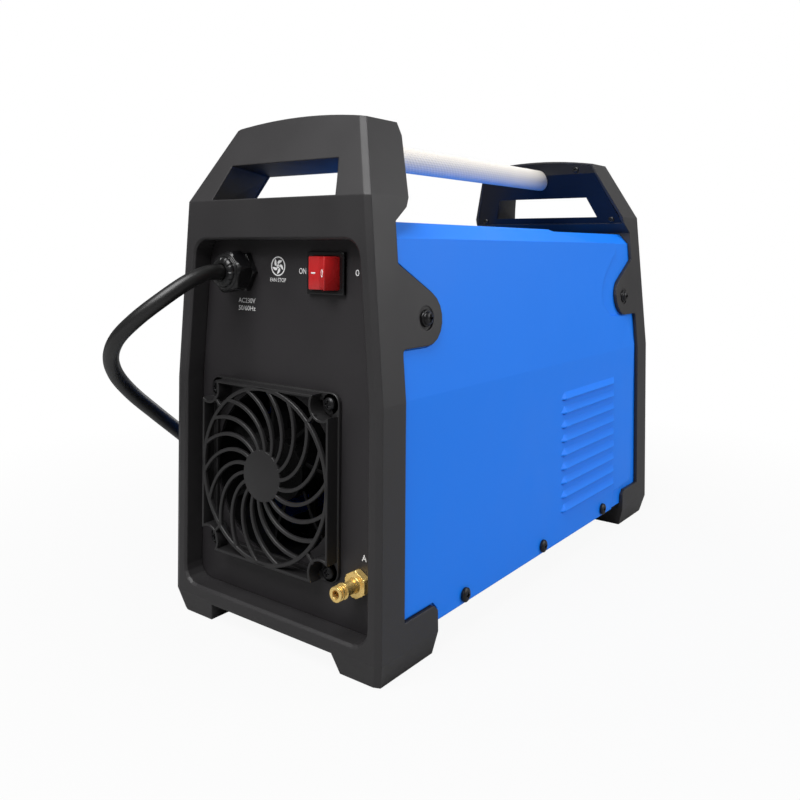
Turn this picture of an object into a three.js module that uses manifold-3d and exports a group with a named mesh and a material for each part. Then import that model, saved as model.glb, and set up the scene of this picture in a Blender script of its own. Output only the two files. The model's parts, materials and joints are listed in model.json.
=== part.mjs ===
// A plasma cutter unit: two moulded end frames hold a folded sheet cover between them, a tube joins the
// tops of the frames as a carrying handle, and a mains lead leaves the rear through a gland.
// Millimetres, +Z up, origin on the floor under the middle of the unit, rear face toward +Y.
import * as THREE from 'three';
import { mergeVertices } from 'three/addons/utils/BufferGeometryUtils.js';
import Module from 'manifold-3d';

const wasm = await Module();
wasm.setup();

// ---------------------------------------------------------------- driving dimensions
// Whole unit
const WIDTH = 185; // across the end frames, from the foot chamfer up to the bend
const LENGTH = 425; // from the rear rim face to the front rim face
const GAP = 0.3; // clearance left between pieces that touch in the real unit
// End frame, seen from its end
const FOOT_CHAMFER_Z = 15;
const FOOT_CHAMFER_X = 4;
const FOOT_CHAMFER_Y = 4.3;
const BEND_Z = 165; // the sides are upright below it and lean in above it
const SHOULDER_RISE = 6; // from where the outer face starts to lean up to the shoulder
const SHOULDER_WIDTH = 165;
const HANDLE_RISE = 51; // from the shoulder up to the top corners of the handle
const HANDLE_TOP_WIDTH = 118;
const ARCH_RISE = 4.5; // how far the middle of the handle's top edge stands above its corners
const FOOT_WIDTH = 38;
const FOOT_INNER_DRAFT = 4.5;
const CROSSBAR_Z = 12.6; // underside of the frame between its feet
// End frame, seen from its side
const BAND_DEPTH = 24;
const HANDLE_DEPTH = 36; // at the shoulder, along Y
const HANDLE_LEAN = 24; // how far the top of the handle lies inward of the rim face
const THROAT_GAP = 1.6; // from the top of the cover to where the frame starts to widen inward
const LEAN_BEND_RISE = 9; // from there up to the bend in the inner face
const HANDLE_INNER_DROP = 9; // the inner face is upright this far below the top corners
const HANDLE_INNER_Y = 57;
const CORNER_BAND_X = 4.2; // chamfer between the rim face and the side
const CORNER_BAND_Y = 1.8;
const FRAME_WALL = 3;
// Handle slot
const SLOT_BOTTOM_WIDTH = 112;
const SLOT_TOP_WIDTH = 97;
const SLOT_RISE = 0.4; // sill above the shoulder crease
const SLOT_HEIGHT = 24;
const SLOT_INNER_HEIGHT = 18.5;
// Side lugs and foot skirts
const LUG_Z = 213.7;
const LUG_REACH = 50.5; // lug screw behind the rim face
const LUG_RADIUS = 17.3;
const LUG_TOP_Z = 248;
const LUG_FILLET = 3; // where the underside of the lug runs into the frame
const LUG_ROOT = 6; // how far the lug's plate reaches under the frame
const CUP_DIAMETER = 15.5;
const CUP_DEPTH = 1;
const LUG_SCREW_HEAD = 11;
const LUG_SCREW_HEAD_HEIGHT = 3.6;
const LUG_SCREW_SHANK = 5;
const LUG_SCREW_LENGTH = 12;
const SKIRT_LENGTH = 60;
const SKIRT_TOP_Z = 32.5;
const SKIRT_END_Z = 28.5;
const SKIRT_SLOPE = 5; // how far back the skirt's upper corner is cut
// Recess in each end and the panel at its back
const RECESS_DEPTH = 15;
const RECESS_BOTTOM_Z = 22.5;
const RECESS_TOP_Z = 262.5;
const RECESS_WIDTH = 164;
const RECESS_TOP_WIDTH = 149;
const RECESS_CORNER = 11;
const RECESS_BEVEL = 1.6;
const PANEL_THICKNESS = 2;
// Sheet cover
const SHEET = 1.2;
const FIELD_RAISE = 1.5; // the pressed field stands this far out of the border
const FIELD_MARGIN = 1.2; // border left between the field and the rear frame
const FRONT_BORDER = 22; // border left beyond the front skirt
const COVER_BOTTOM_Z = 20.8;
const CREASE_DROP = 9.4; // from the top of the cover down to the upper end of its leaning sides
const COVER_TOP_Z = 272.4;
const COVER_TOP_WIDTH = 146;
const COVER_TUCK = 5.5; // how far the ends of the cover stop short of the panels
const LOUVRE_COUNT = 9;
const LOUVRE_PITCH = 11.4;
const LOUVRE_FIRST_Z = 141.7;
const LOUVRE_LENGTH = 110;
const LOUVRE_MIDDLE_Y = -80;
const LOUVRE_RAISE = 2.6;
const LOUVRE_HEIGHT = 6.5;
const LOUVRE_LIP = 1.2; // upright strip along the lower edge
const LOUVRE_RAMP = 6; // sloping ends
const SIDE_SCREW_Z = 26.5;
const SIDE_SCREW_YS = [119, 6, -108.5];
const SIDE_SCREW_HEAD = 9.5;
const SIDE_SCREW_SHANK = 4;
const SIDE_SCREW_LENGTH = 7;
// Base tray
const TRAY_THICKNESS = 1.5;
const TRAY_FLANGE_TOP_Z = 38;
// Carrying tube
const TUBE_DIAMETER = 20;
const TUBE_DROP = 13.5; // the tube's axis below the top corners of the handle
const TUBE_SOCKET_DEPTH = 14;
const TUBE_BOSS_WALL = 3.5;
const HANDLE_PLATE = 2.4;
const HANDLE_PLATE_LIP = 2.2; // frame wall left showing round the plate
// Fan
const FAN_X = 10.2;
const FAN_Z = 107.5;
const FAN_SIZE = 119;
const FAN_DEPTH = 38;
const FAN_BORE = 112;
const FAN_HUB = 40;
const FAN_TIP_GAP = 2;
const FAN_BLADES = 7;
const FAN_PITCH = 105; // between screw centres
const FAN_SCREW_HOLE = 4.4;
const FAN_SCREW_HEAD = 8.4;
const FAN_SCREW_LENGTH = 14;
const FAN_SCREW_SHANK = 3.6;
const FAN_SHAFT = 5;
// Fan guard
const GUARD_SIZE = 117;
const GUARD_FLANGE = 2.4;
const GUARD_FRONT = 3.3; // behind the rim face
const GUARD_WALL = 1.8;
const GUARD_GRILLE = 2.6; // thickness of the ribs along Y
const GUARD_RING = 2.8;
const GUARD_HUB = 34;
const GUARD_RIBS = 18;
const GUARD_RIB_WIDTH = 2.5;
const GUARD_RIB_SWEEP = 46; // degrees from hub to ring
const GUARD_RIB_CURL = 1.15; // 1 turns evenly with the radius, more turns mostly near the ring
const GUARD_RIB_STEPS = 7;
const GUARD_SPOKE = 2; // short bars from the ring to the corners
const GUARD_NOTCH_REACH = 13;
const GUARD_NOTCH_RADIUS = 9;
// Mains switch
const SWITCH_X = -37;
const SWITCH_Z = 241.5;
const BEZEL_WIDTH = 31;
const BEZEL_HEIGHT = 27;
const BEZEL_THICKNESS = 2.2;
const BEZEL_LAP = 1.5; // how far the bezel laps over its opening
const SWITCH_BODY_DEPTH = 26;
const SWITCH_MOUTH_DEPTH = 14;
const TAB_X = 8;
const TAB_LENGTH = 8;
const TAB_WIDTH = 6;
const TAB_THICKNESS = 0.8;
const ROCKER_HEIGHT = 21;
const ROCKER_TOP = 18.4; // across the two top edges
const ROCKER_RISE = 8.1; // top edges above the pivot
const ROCKER_VALLEY = 5.6; // middle line of the face above the pivot
const ROCKER_WAIST = 22.6; // at its widest
const ROCKER_WAIST_DROP = 2.5; // the widest line below the pivot
const ROCKER_KEEL = 8.5; // lowest line below the pivot
const ROCKER_TILT = 16; // degrees to either side of level
const ROCKER_SINK = 1.5; // the pivot behind the face of the bezel
// Cable gland
const GLAND_X = 41.5;
const GLAND_Z = 240.7;
const GLAND_FLATS = 26;
const GLAND_BASE = 4;
const GLAND_NUT = 11.5;
const GLAND_DOME = 4.2;
const GLAND_DOME_DIAMETER = 21;
const GLAND_THREAD = 20;
const GLAND_LOCKNUT = 5;
const GLAND_LOCKNUT_FLATS = 28;
const GLAND_THREAD_REACH = 8; // behind the panel
// Mains lead
const CORD_DIAMETER = 10.5;
const CORD_SIDES = 8;
const COIL_LOOPS = 4;
const COIL_PITCH = 11.1;
const COIL_OUTER_RADIUS = 68.9;
const COIL_X = 190;
const COIL_Y = 12;
const COIL_STEPS = 24;
const COIL_SIDES = 6;
const FLOOR_GAP = 0.3;
const TAIL_LENGTH = 62;
const RELIEF_LENGTH = 32;
const RELIEF_DIAMETER = 17;
const PLUG_DIAMETER = 37;
const PLUG_LENGTH = 36;
const PIN_DIAMETER = 4.8;
const PIN_LENGTH = 19;
const PIN_SPACING = 19;
// Air inlet
const NIPPLE_FROM_SIDE = 27.7; // from the outside of the frame to the axis
const NIPPLE_Z = 53.2;
const NIPPLE_FLATS = 14;
const NIPPLE_HEX = 7;
const NIPPLE_LENGTH = 22.5;
const NIPPLE_THREAD = 9.5;
const NIPPLE_THREAD_REACH = 9; // behind the panel
const NIPPLE_BORE = 3.6;
// Front controls
const DISPLAY_Z = 222;
const DISPLAY_WIDTH = 66;
const DISPLAY_HEIGHT = 30;
const DISPLAY_RIM = 3; // lies on the panel round its opening
const DISPLAY_THICKNESS = 2;
const DISPLAY_BACK = 8; // behind the panel's outer face
const LAMP_Z = 190;
const LAMP_DIAMETER = 7;
const LAMP_SPACING = 24;
const KNOB_Z = 150;
const KNOB_DIAMETER = 36;
const KNOB_HEIGHT = 16;
const KNOB_SHAFT = 6;
const KNOB_SHAFT_LENGTH = 20;
const BUTTON_X = 46;
const BUTTON_DIAMETER = 12;
const BUTTON_HEIGHT = 5;
const SOCKET_Z = 74;
const SOCKET_FROM_SIDE = 50.5; // from the outside of the frame to the axis of each socket
const TORCH_FLANGE = 50;
const TORCH_BARREL = 36;
const TORCH_BORE = 22;
const EARTH_FLANGE = 44;
const EARTH_BARREL = 33;
const EARTH_BORE = 15;
const SOCKET_REACH = 22.5; // how far the barrels stand out of the panel
const SOCKET_BACK = 16;
const SOCKET_BORE_DEPTH = 30;
// Inside
const BOARD_Z = 36;
const BOARD_THICKNESS = 1.6;
const BOARD_WIDTH = 150;
const BOARD_LENGTH = 240;
const BOARD_MIDDLE_Y = 0;
const PILLAR_DIAMETER = 8;
const SINK_LENGTH = 130;
const SINK_HEIGHT = 70;
const SINK_DEPTH = 30;
const SINK_FINS = 7;
const SINK_BASE = 6;
const SINK_X = 34;
const MODULE_SIZE = [4, 34, 24];
const CAPACITOR_DIAMETER = 35;
const CAPACITOR_HEIGHT = 52;
const CAPACITOR_Y = -98;
const CORE_SIZE = [58, 44, 62];
const CORE_LEG = 15;
const CORE_Z = 128;
const CHOKE_DIAMETER = 52;
const CHOKE_BORE = 22;
const CHOKE_HEIGHT = 24;
const CONTROL_BOARD = [120, 112];
const CONTROL_LOW_Z = 130;
const CONTROL_GAP = 20; // from the panel to the board
const POTENTIOMETER_DIAMETER = 17;
const POTENTIOMETER_DEPTH = 9;
const VALVE_LENGTH = 44;
const VALVE_HEIGHT = 24;
const VALVE_FAN_CLEARANCE = 5.5; // between the valve and the frame of the fan
const VALVE_WALL_CLEARANCE = 5.2; // between the valve and the inside of the cover
const VALVE_COIL_STEP = 1; // the coil stands in from each side of the body by this much
const VALVE_COIL_FROM = 10; // above the nipple's axis
const VALVE_COIL_TO = 44;
const HOSE_DIAMETER = 8;
const HOSE_CLEARANCE = 3; // from the inside of the cover

// ---------------------------------------------------------------- worked-out places
const REAR = LENGTH / 2; // rim face of the rear frame; the front one is at -REAR
const HALF = WIDTH / 2;
const CREASE_Z = COVER_TOP_Z - CREASE_DROP;
const THROAT_Z = COVER_TOP_Z + THROAT_GAP;
const LEAN_BEND_Z = THROAT_Z + LEAN_BEND_RISE;
const SHOULDER_Z = LEAN_BEND_Z + SHOULDER_RISE;
const HANDLE_TOP_Z = SHOULDER_Z + HANDLE_RISE;
const HANDLE_INNER_Z = HANDLE_TOP_Z - HANDLE_INNER_DROP;
const TUBE_Z = HANDLE_TOP_Z - TUBE_DROP;
const PANEL_Y = REAR - RECESS_DEPTH - GAP; // outer face of the rear panel
const PANEL_BACK_Y = PANEL_Y - PANEL_THICKNESS;
const COVER_END_Y = PANEL_BACK_Y - COVER_TUCK;
const COVER_INSET = FRAME_WALL + GAP; // the frames overlap the cover by their wall
const DEG = Math.PI / 180;
const NIPPLE_X = -HALF + NIPPLE_FROM_SIDE;
const EARTH_X = HALF - SOCKET_FROM_SIDE;
const TORCH_X = -EARTH_X;
const PAST = 5; // how far a cutting shape runs on past what it cuts

// ---------------------------------------------------------------- shape helpers
function solid(geometry) {
  const bare = geometry.index ? geometry.toNonIndexed() : geometry;
  const trimmed = new THREE.BufferGeometry();
  trimmed.setAttribute('position', bare.getAttribute('position'));
  const merged = mergeVertices(trimmed, 1e-4);
  const position = merged.getAttribute('position');
  const index = merged.index.array;
  const corners = [0, 1, 2].map(() => new THREE.Vector3());
  const kept = [];
  let volume = 0;
  for (let i = 0; i < index.length; i += 3) {
    const [a, b, c] = [index[i], index[i + 1], index[i + 2]];
    if (a === b || b === c || c === a) continue;
    [a, b, c].forEach((at, k) => corners[k].fromBufferAttribute(position, at));
    volume += corners[0].dot(corners[1].clone().cross(corners[2]));
    kept.push(a, b, c);
  }
  if (volume < 0) kept.reverse();
  const mesh = new wasm.Mesh({
    numProp: 3,
    vertProperties: new Float32Array(position.array),
    triVerts: new Uint32Array(kept),
  });
  return new wasm.Manifold(mesh);
}

function geometryOf(manifold) {
  const mesh = manifold.getMesh();
  const indexed = new THREE.BufferGeometry();
  indexed.setAttribute('position', new THREE.BufferAttribute(new Float32Array(mesh.vertProperties), 3));
  indexed.setIndex(new THREE.BufferAttribute(new Uint32Array(mesh.triVerts), 1));
  return indexed;
}

const join = (...pieces) => pieces.reduce((sum, piece) => sum.add(piece));
const cut = (body, ...tools) => tools.reduce((rest, tool) => rest.subtract(tool), body);

function box(x0, x1, y0, y1, z0, z1) {
  const geometry = new THREE.BoxGeometry(x1 - x0, y1 - y0, z1 - z0);
  geometry.translate((x0 + x1) / 2, (y0 + y1) / 2, (z0 + z1) / 2);
  return solid(geometry);
}

// The section's points are (y, z) along x, (x, z) along y and (x, y) along z.
function prism(axis, points, from, to) {
  const shape = new THREE.Shape(points.map(([u, v]) => new THREE.Vector2(u, v)));
  const geometry = new THREE.ExtrudeGeometry(shape, { depth: to - from, bevelEnabled: false, steps: 1 });
  const turn = new THREE.Matrix4();
  const [X, Y, Z] = [new THREE.Vector3(1, 0, 0), new THREE.Vector3(0, 1, 0), new THREE.Vector3(0, 0, 1)];
  if (axis === 'x') turn.makeBasis(Y, Z, X).setPosition(from, 0, 0);
  if (axis === 'y') turn.makeBasis(X, Z, Y.clone().negate()).setPosition(0, to, 0);
  if (axis === 'z') turn.setPosition(0, 0, from);
  geometry.applyMatrix4(turn);
  return solid(geometry);
}

// A turned piece: profile points are [radius, distance along the axis].
function turned(axis, profile, centre, sides = 24) {
  const geometry = new THREE.LatheGeometry(profile.map(([r, h]) => new THREE.Vector2(r, h)), sides);
  if (axis === 'x') geometry.rotateZ(-Math.PI / 2);
  if (axis === 'z') geometry.rotateX(Math.PI / 2);
  geometry.translate(...centre);
  return solid(geometry);
}

function rod(axis, diameter, from, to, centre, sides = 24) {
  const radius = diameter / 2;
  return turned(axis, [[0, from], [radius, from], [radius, to], [0, to]], centre, sides);
}

// A closed body through loops of equally many points, each loop a flat polygon.
function loft(loops) {
  const count = loops[0].length;
  const points = loops.flat();
  const faces = [];
  for (let ring = 0; ring + 1 < loops.length; ring += 1) {
    for (let k = 0; k < count; k += 1) {
      const [a, b] = [ring * count + k, ring * count + ((k + 1) % count)];
      faces.push([a, b, b + count], [a, b + count, a + count]);
    }
  }
  const last = (loops.length - 1) * count;
  for (const [a, b, c] of capOf(loops[0])) faces.push([c, b, a]);
  for (const [a, b, c] of capOf(loops[loops.length - 1])) faces.push([a + last, b + last, c + last]);
  const geometry = new THREE.BufferGeometry();
  geometry.setAttribute('position', new THREE.Float32BufferAttribute(points.flat(), 3));
  geometry.setIndex(faces.flat());
  return solid(geometry);
}

function capOf(loop) {
  const size = [0, 1, 2].map((axis) => {
    const values = loop.map((point) => point[axis]);
    return Math.max(...values) - Math.min(...values);
  });
  const flat = size.indexOf(Math.min(...size));
  const [u, v] = [(flat + 1) % 3, (flat + 2) % 3];
  const contour = loop.map((point) => new THREE.Vector2(point[u], point[v]));
  const triangles = THREE.ShapeUtils.triangulateShape(contour, []);
  // The triangles come anticlockwise; they are turned over to follow a clockwise loop.
  return THREE.ShapeUtils.area(contour) > 0 ? triangles : triangles.map(([a, b, c]) => [c, b, a]);
}

// Moves every edge of a closed anticlockwise polygon outward by the distance.
function spread(points, distance) {
  return points.map((point, i) => {
    const before = points[(i + points.length - 1) % points.length];
    const after = points[(i + 1) % points.length];
    const [ax, ay] = unit(point[0] - before[0], point[1] - before[1]);
    const [bx, by] = unit(after[0] - point[0], after[1] - point[1]);
    const scale = distance / (1 + ax * bx + ay * by);
    return [point[0] + (ay + by) * scale, point[1] - (ax + bx) * scale];
  });
}

function unit(x, y) {
  const size = Math.hypot(x, y);
  return [x / size, y / size];
}

function arc(cx, cy, radius, fromDeg, toDeg, steps) {
  return Array.from({ length: steps + 1 }, (_, i) => {
    const angle = (fromDeg + ((toDeg - fromDeg) * i) / steps) * DEG;
    return [cx + radius * Math.cos(angle), cy + radius * Math.sin(angle)];
  });
}

const mirrored = (points) => points.map(([u, v]) => [-u, v]).reverse();
const hexagon = (cx, cy, flats) => arc(cx, cy, flats / Math.sqrt(3), 0, 300, 5);

// ---------------------------------------------------------------- materials and group
const unitGroup = new THREE.Group();
const paint = (color, roughness, metalness = 0) => ({ color, roughness, metalness });
const LOOKS = {
  plastic: paint(0x1b1c1e, 0.55),
  darkPlastic: paint(0x0e0f10, 0.5),
  blueSheet: paint(0x1f6fe8, 0.35, 0.1),
  plainSheet: paint(0x8e9396, 0.5, 0.8),
  blackSheet: paint(0x17181a, 0.6, 0.2),
  whiteTube: paint(0xe4e6e8, 0.4, 0.3),
  blackScrew: paint(0x111213, 0.4, 0.7),
  steel: paint(0xb6babd, 0.35, 0.9),
  brass: paint(0xc9a14a, 0.3, 0.95),
  red: paint(0xb02a2a, 0.4),
  rubber: paint(0x141414, 0.75),
  window: paint(0x0a0a0c, 0.1),
  lamp: paint(0xd9e6c0, 0.2),
  board: paint(0x1e5a34, 0.6),
  aluminium: paint(0xaab0b4, 0.45, 0.9),
  capacitor: paint(0x22304a, 0.4),
  ferrite: paint(0x3a3a3c, 0.7),
  copper: paint(0xb87333, 0.35, 0.9),
  hose: paint(0x2a4a8a, 0.5),
};

function add(name, body, look) {
  const mesh = new THREE.Mesh(geometryOf(body), new THREE.MeshStandardMaterial(LOOKS[look]));
  mesh.name = name;
  unitGroup.add(mesh);
  return mesh;
}

// ---------------------------------------------------------------- end frames
const between = (z, z0, a, z1, b) => a + ((b - a) * (z - z0)) / (z1 - z0);

// Half the width of the frame's outside at a height.
function sideAt(z) {
  if (z <= BEND_Z) return HALF;
  if (z <= SHOULDER_Z) return between(z, BEND_Z, HALF, SHOULDER_Z, SHOULDER_WIDTH / 2);
  return between(z, SHOULDER_Z, SHOULDER_WIDTH / 2, HANDLE_TOP_Z, HANDLE_TOP_WIDTH / 2);
}

// How far the frame's outer face lies behind the rim face at a height.
const leanAt = (z) => (z <= SHOULDER_Z ? 0 : between(z, SHOULDER_Z, 0, HANDLE_TOP_Z, HANDLE_LEAN));

// How far its inner face lies behind the rim face.
function innerAt(z) {
  if (z <= THROAT_Z) return BAND_DEPTH;
  if (z <= LEAN_BEND_Z) return between(z, THROAT_Z, BAND_DEPTH, LEAN_BEND_Z, HANDLE_DEPTH);
  if (z <= HANDLE_INNER_Z) return between(z, LEAN_BEND_Z, HANDLE_DEPTH, HANDLE_INNER_Z, HANDLE_INNER_Y);
  return HANDLE_INNER_Y;
}

// One level section of the frame: both corner bands, then the straight inner edge.
function sectionAt(z, inner, half = sideAt(z), outer = leanAt(z)) {
  const right = [[half, -inner], [half, -outer - CORNER_BAND_Y], [half - CORNER_BAND_X, -outer]];
  const left = right.map(([x, y]) => [-x, y]).reverse();
  return [...right, ...left].map(([x, y]) => [x, y, z]);
}

const ABOVE = HANDLE_TOP_Z + ARCH_RISE + 3;

function frameShell() {
  const foot = sectionAt(0, BAND_DEPTH, HALF - FOOT_CHAMFER_X, FOOT_CHAMFER_Y);
  const heights = [FOOT_CHAMFER_Z, BEND_Z, THROAT_Z, LEAN_BEND_Z, SHOULDER_Z, HANDLE_INNER_Z, ABOVE];
  return loft([foot, ...heights.map((z) => sectionAt(z, innerAt(z)))]).intersect(archPrism(0));
}

// Everything under the arched top edge, lowered by the inset.
function archPrism(inset) {
  const half = HANDLE_TOP_WIDTH / 2;
  const radius = (half * half + ARCH_RISE * ARCH_RISE) / (2 * ARCH_RISE);
  const swing = Math.asin(half / radius) / DEG;
  const centreZ = HANDLE_TOP_Z + ARCH_RISE - radius - inset;
  const top = arc(0, centreZ, radius, 90 - swing, 90 + swing, 12);
  const points = [[-WIDTH, -1], [WIDTH, -1], [WIDTH, top[0][1]], ...top, [-WIDTH, top[0][1]]];
  return prism('y', points, -HANDLE_INNER_Y - 20, 20);
}

// Feet: blocks under the tray with skirts that run along the sides.
function feet() {
  const reach = SKIRT_LENGTH;
  const solidFoot = loft([
    sectionAt(0, reach - 1, HALF - FOOT_CHAMFER_X, FOOT_CHAMFER_Y),
    sectionAt(FOOT_CHAMFER_Z, reach),
    sectionAt(SKIRT_END_Z, reach - 0.5),
    sectionAt(SKIRT_TOP_Z, reach - SKIRT_SLOPE),
  ]);
  const inside = HALF - FOOT_WIDTH;
  const middle = prism('y', [
    [-inside - FOOT_INNER_DRAFT, -1],
    [inside + FOOT_INNER_DRAFT, -1],
    [inside, CROSSBAR_Z],
    [inside, SKIRT_TOP_Z + 1],
    [-inside, SKIRT_TOP_Z + 1],
    [-inside, CROSSBAR_Z],
  ], -SKIRT_LENGTH - 1, -RECESS_DEPTH);
  return cut(solidFoot, middle);
}

// A rounded tip, a slope up to the frame above it and a level edge with a small fillet below it.
function lugOutline() {
  const root = -BAND_DEPTH + LUG_ROOT;
  const low = LUG_Z - LUG_RADIUS;
  const tip = arc(-LUG_REACH, LUG_Z, LUG_RADIUS, 118, 270, 8);
  const fillet = arc(-BAND_DEPTH - LUG_FILLET, low - LUG_FILLET, LUG_FILLET, 90, 0, 3);
  return [[root, low - LUG_FILLET], [root, LUG_TOP_Z], [-BAND_DEPTH, LUG_TOP_Z], ...tip, ...fillet].reverse();
}

// The lugs lie in the plane of the leaning sides.
function lugs() {
  const plates = prism('x', lugOutline(), -HALF - 5, HALF + 5);
  const deep = LUG_REACH + LUG_RADIUS + 10;
  const slab = loft([BEND_Z, SHOULDER_Z].map((z) => sectionAt(z, deep)));
  return plates.intersect(slab);
}

// Cover outline seen from the end, at the level of its border, anticlockwise from the lower right.
function coverLoop() {
  const right = [
    [HALF - COVER_INSET, COVER_BOTTOM_Z],
    [HALF - COVER_INSET, BEND_Z],
    [sideAt(CREASE_Z) - COVER_INSET, CREASE_Z],
    [COVER_TOP_WIDTH / 2, COVER_TOP_Z],
  ];
  return [...right, ...mirrored(right)];
}

function recessLoop(margin) {
  const corner = RECESS_CORNER + margin;
  const [bottom, top] = [RECESS_BOTTOM_Z - margin, RECESS_TOP_Z + margin];
  const [low, high] = [RECESS_WIDTH / 2 + margin, RECESS_TOP_WIDTH / 2 + margin];
  const right = [
    ...arc(low - corner, bottom + corner, corner, -90, 0, 4),
    [low, BEND_Z],
    ...arc(high - corner, top - corner, corner, 5, 90, 4),
  ];
  return [...right, ...mirrored(right)];
}

function recessCut() {
  const at = (y, margin) => recessLoop(margin).map(([x, z]) => [x, y, z]);
  return loft([at(1, RECESS_BEVEL + 1), at(-RECESS_BEVEL, 0), at(-RECESS_DEPTH - 1, 0)]);
}

// The slot's outline at a depth behind the rim face; it narrows and sinks slightly inward.
function slotLoop(y, height, margin = 0) {
  const bottom = SHOULDER_Z + SLOT_RISE;
  const [low, high] = [SLOT_BOTTOM_WIDTH / 2, SLOT_TOP_WIDTH / 2];
  const corners = [[-low, bottom], [low, bottom], [high, bottom + height], [-high, bottom + height]];
  return (margin ? spread(corners, margin) : corners).map(([x, z]) => [x, y, z]);
}

const slotCut = (margin = 0) => loft([
  slotLoop(5, SLOT_HEIGHT + 2, margin),
  slotLoop(-HANDLE_LEAN / 2, SLOT_HEIGHT, margin),
  slotLoop(-HANDLE_INNER_Y + 8, SLOT_INNER_HEIGHT, margin),
  slotLoop(-HANDLE_INNER_Y - 5, SLOT_INNER_HEIGHT, margin),
]);

// The handle is a shell, open on its inner face where the plate closes it.
function handleHollow() {
  const wall = FRAME_WALL;
  const low = SHOULDER_Z + SLOT_RISE;
  const levels = [low, HANDLE_INNER_Z, ABOVE];
  const room = loft(levels.map((z) => {
    const half = sideAt(z) - wall;
    const [outer, inner] = [leanAt(z) + wall + 0.5, innerAt(z) + 10];
    return [[half, -inner, z], [half, -outer, z], [-half, -outer, z], [-half, -inner, z]];
  }));
  return cut(room.intersect(archPrism(wall)), slotCut(wall));
}

// A boss round the tube's end, kept inside the outside of the handle.
function tubeBoss(shell) {
  const inner = innerAt(TUBE_Z) - HANDLE_PLATE - GAP;
  const diameter = TUBE_DIAMETER + 2 * TUBE_BOSS_WALL;
  return rod('y', diameter, -inner, -leanAt(TUBE_Z) + 2, [0, 0, TUBE_Z]).intersect(shell);
}

// The plate on the handle's inner face, at a distance behind that face.
function platePrism(lip, near, far, topInset) {
  const levels = [LEAN_BEND_Z + 0.6 + (lip - HANDLE_PLATE_LIP), HANDLE_INNER_Z, ABOVE];
  const body = loft(levels.map((z) => {
    const half = sideAt(z) - lip;
    const [outside, inside] = [-innerAt(z) + far, -innerAt(z) - near];
    return [[half, outside, z], [half, inside, z], [-half, inside, z], [-half, outside, z]];
  }));
  return body.intersect(archPrism(topInset));
}

function cornerScrewSpots() {
  const half = FAN_PITCH / 2;
  return [[-half, -half], [half, -half], [-half, half], [half, half]].map(([u, v]) => [FAN_X + u, FAN_Z + v]);
}

function endFrame() {
  const hollow = prism('y', spread(coverLoop(), GAP), -SKIRT_LENGTH - 20, -RECESS_DEPTH);
  const underside = prism('y', [
    [-HALF + FOOT_WIDTH - FOOT_INNER_DRAFT, -1],
    [HALF - FOOT_WIDTH + FOOT_INNER_DRAFT, -1],
    [HALF - FOOT_WIDTH, CROSSBAR_Z],
    [-HALF + FOOT_WIDTH, CROSSBAR_Z],
  ], -SKIRT_LENGTH - 1, 1);
  const socket = rod('y', TUBE_DIAMETER + 2 * GAP, -innerAt(TUBE_Z) - 5,
    -innerAt(TUBE_Z) + TUBE_SOCKET_DEPTH, [0, 0, TUBE_Z]);
  const shell = frameShell();
  let frame = join(shell, feet(), lugs());
  frame = cut(frame, hollow, underside, recessCut(), handleHollow());
  const plateSeat = platePrism(HANDLE_PLATE_LIP - GAP, PAST, HANDLE_PLATE + GAP, HANDLE_PLATE_LIP - GAP);
  frame = cut(frame.add(tubeBoss(shell)), slotCut(), socket, plateSeat);
  const face = sideAt(LUG_Z);
  const at = [0, -LUG_REACH, LUG_Z];
  const cup = rod('x', CUP_DIAMETER, face - CUP_DEPTH, face + PAST, at);
  const hole = rod('x', LUG_SCREW_SHANK + 2 * GAP, face - 2 * PAST, face + PAST, at);
  return cut(frame, cup, hole, cup.mirror([1, 0, 0]), hole.mirror([1, 0, 0]));
}

function handlePlate() {
  const plate = platePrism(HANDLE_PLATE_LIP, 0, HANDLE_PLATE, HANDLE_PLATE_LIP);
  const tubeHole = rod('y', TUBE_DIAMETER + 2 * GAP, -HANDLE_INNER_Y - 10, 0, [0, 0, TUBE_Z]);
  return cut(plate, slotCut(), tubeHole);
}

// Both ends use the same mouldings, turned half round for the front.
function addAtBothEnds(name, body, look) {
  add(`rear_${name}`, body.translate([0, REAR, 0]), look);
  add(`front_${name}`, body.rotate([0, 0, 180]).translate([0, -REAR, 0]), look);
}

// ---------------------------------------------------------------- cover
// The pressed field seen from the side; the rest of the sheet is the border. At the rear the field ends
// close to the frame, at the front it swings clear of the lug and the skirt.
function fieldOutline() {
  const rearEdge = REAR - BAND_DEPTH - FIELD_MARGIN;
  const lugY = REAR - LUG_REACH;
  const skirtEnd = REAR - SKIRT_LENGTH - FIELD_MARGIN;
  const aboveSkirt = SKIRT_TOP_Z + FIELD_MARGIN;
  const lugEdge = LUG_RADIUS + FIELD_MARGIN;
  const frontLow = -REAR + SKIRT_LENGTH + FRONT_BORDER;
  const above = COVER_TOP_Z + 20;
  const below = COVER_BOTTOM_Z - PAST;
  const scoop = [[-35, COVER_TOP_Z + 1], [-57, 269.3], [-76, 267], [-92, 265.3], [-105, 264], [-153, 263.5]];
  const roundLug = [
    [-154, 253], [-146, 250], [-128, 236], [-118, 224], [-115.7, 216], [-118, 208],
    [-125, 201.5], [-134, 196.5], [-168, 195], [-176, 186], [-184, 168],
  ];
  return [
    [skirtEnd, below], [skirtEnd, aboveSkirt - SKIRT_SLOPE], [skirtEnd + SKIRT_SLOPE, aboveSkirt],
    [rearEdge, aboveSkirt], [rearEdge, LUG_Z - lugEdge],
    ...arc(lugY, LUG_Z, lugEdge, -90, -242, 8),
    [rearEdge, LUG_TOP_Z + FIELD_MARGIN], [rearEdge, above], [-35, above],
    ...scoop, ...roundLug,
    [-177.5, 60], [-176, 42], [-172, 38], [frontLow - 4, 36], [frontLow, 32], [frontLow, below],
  ];
}

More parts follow.
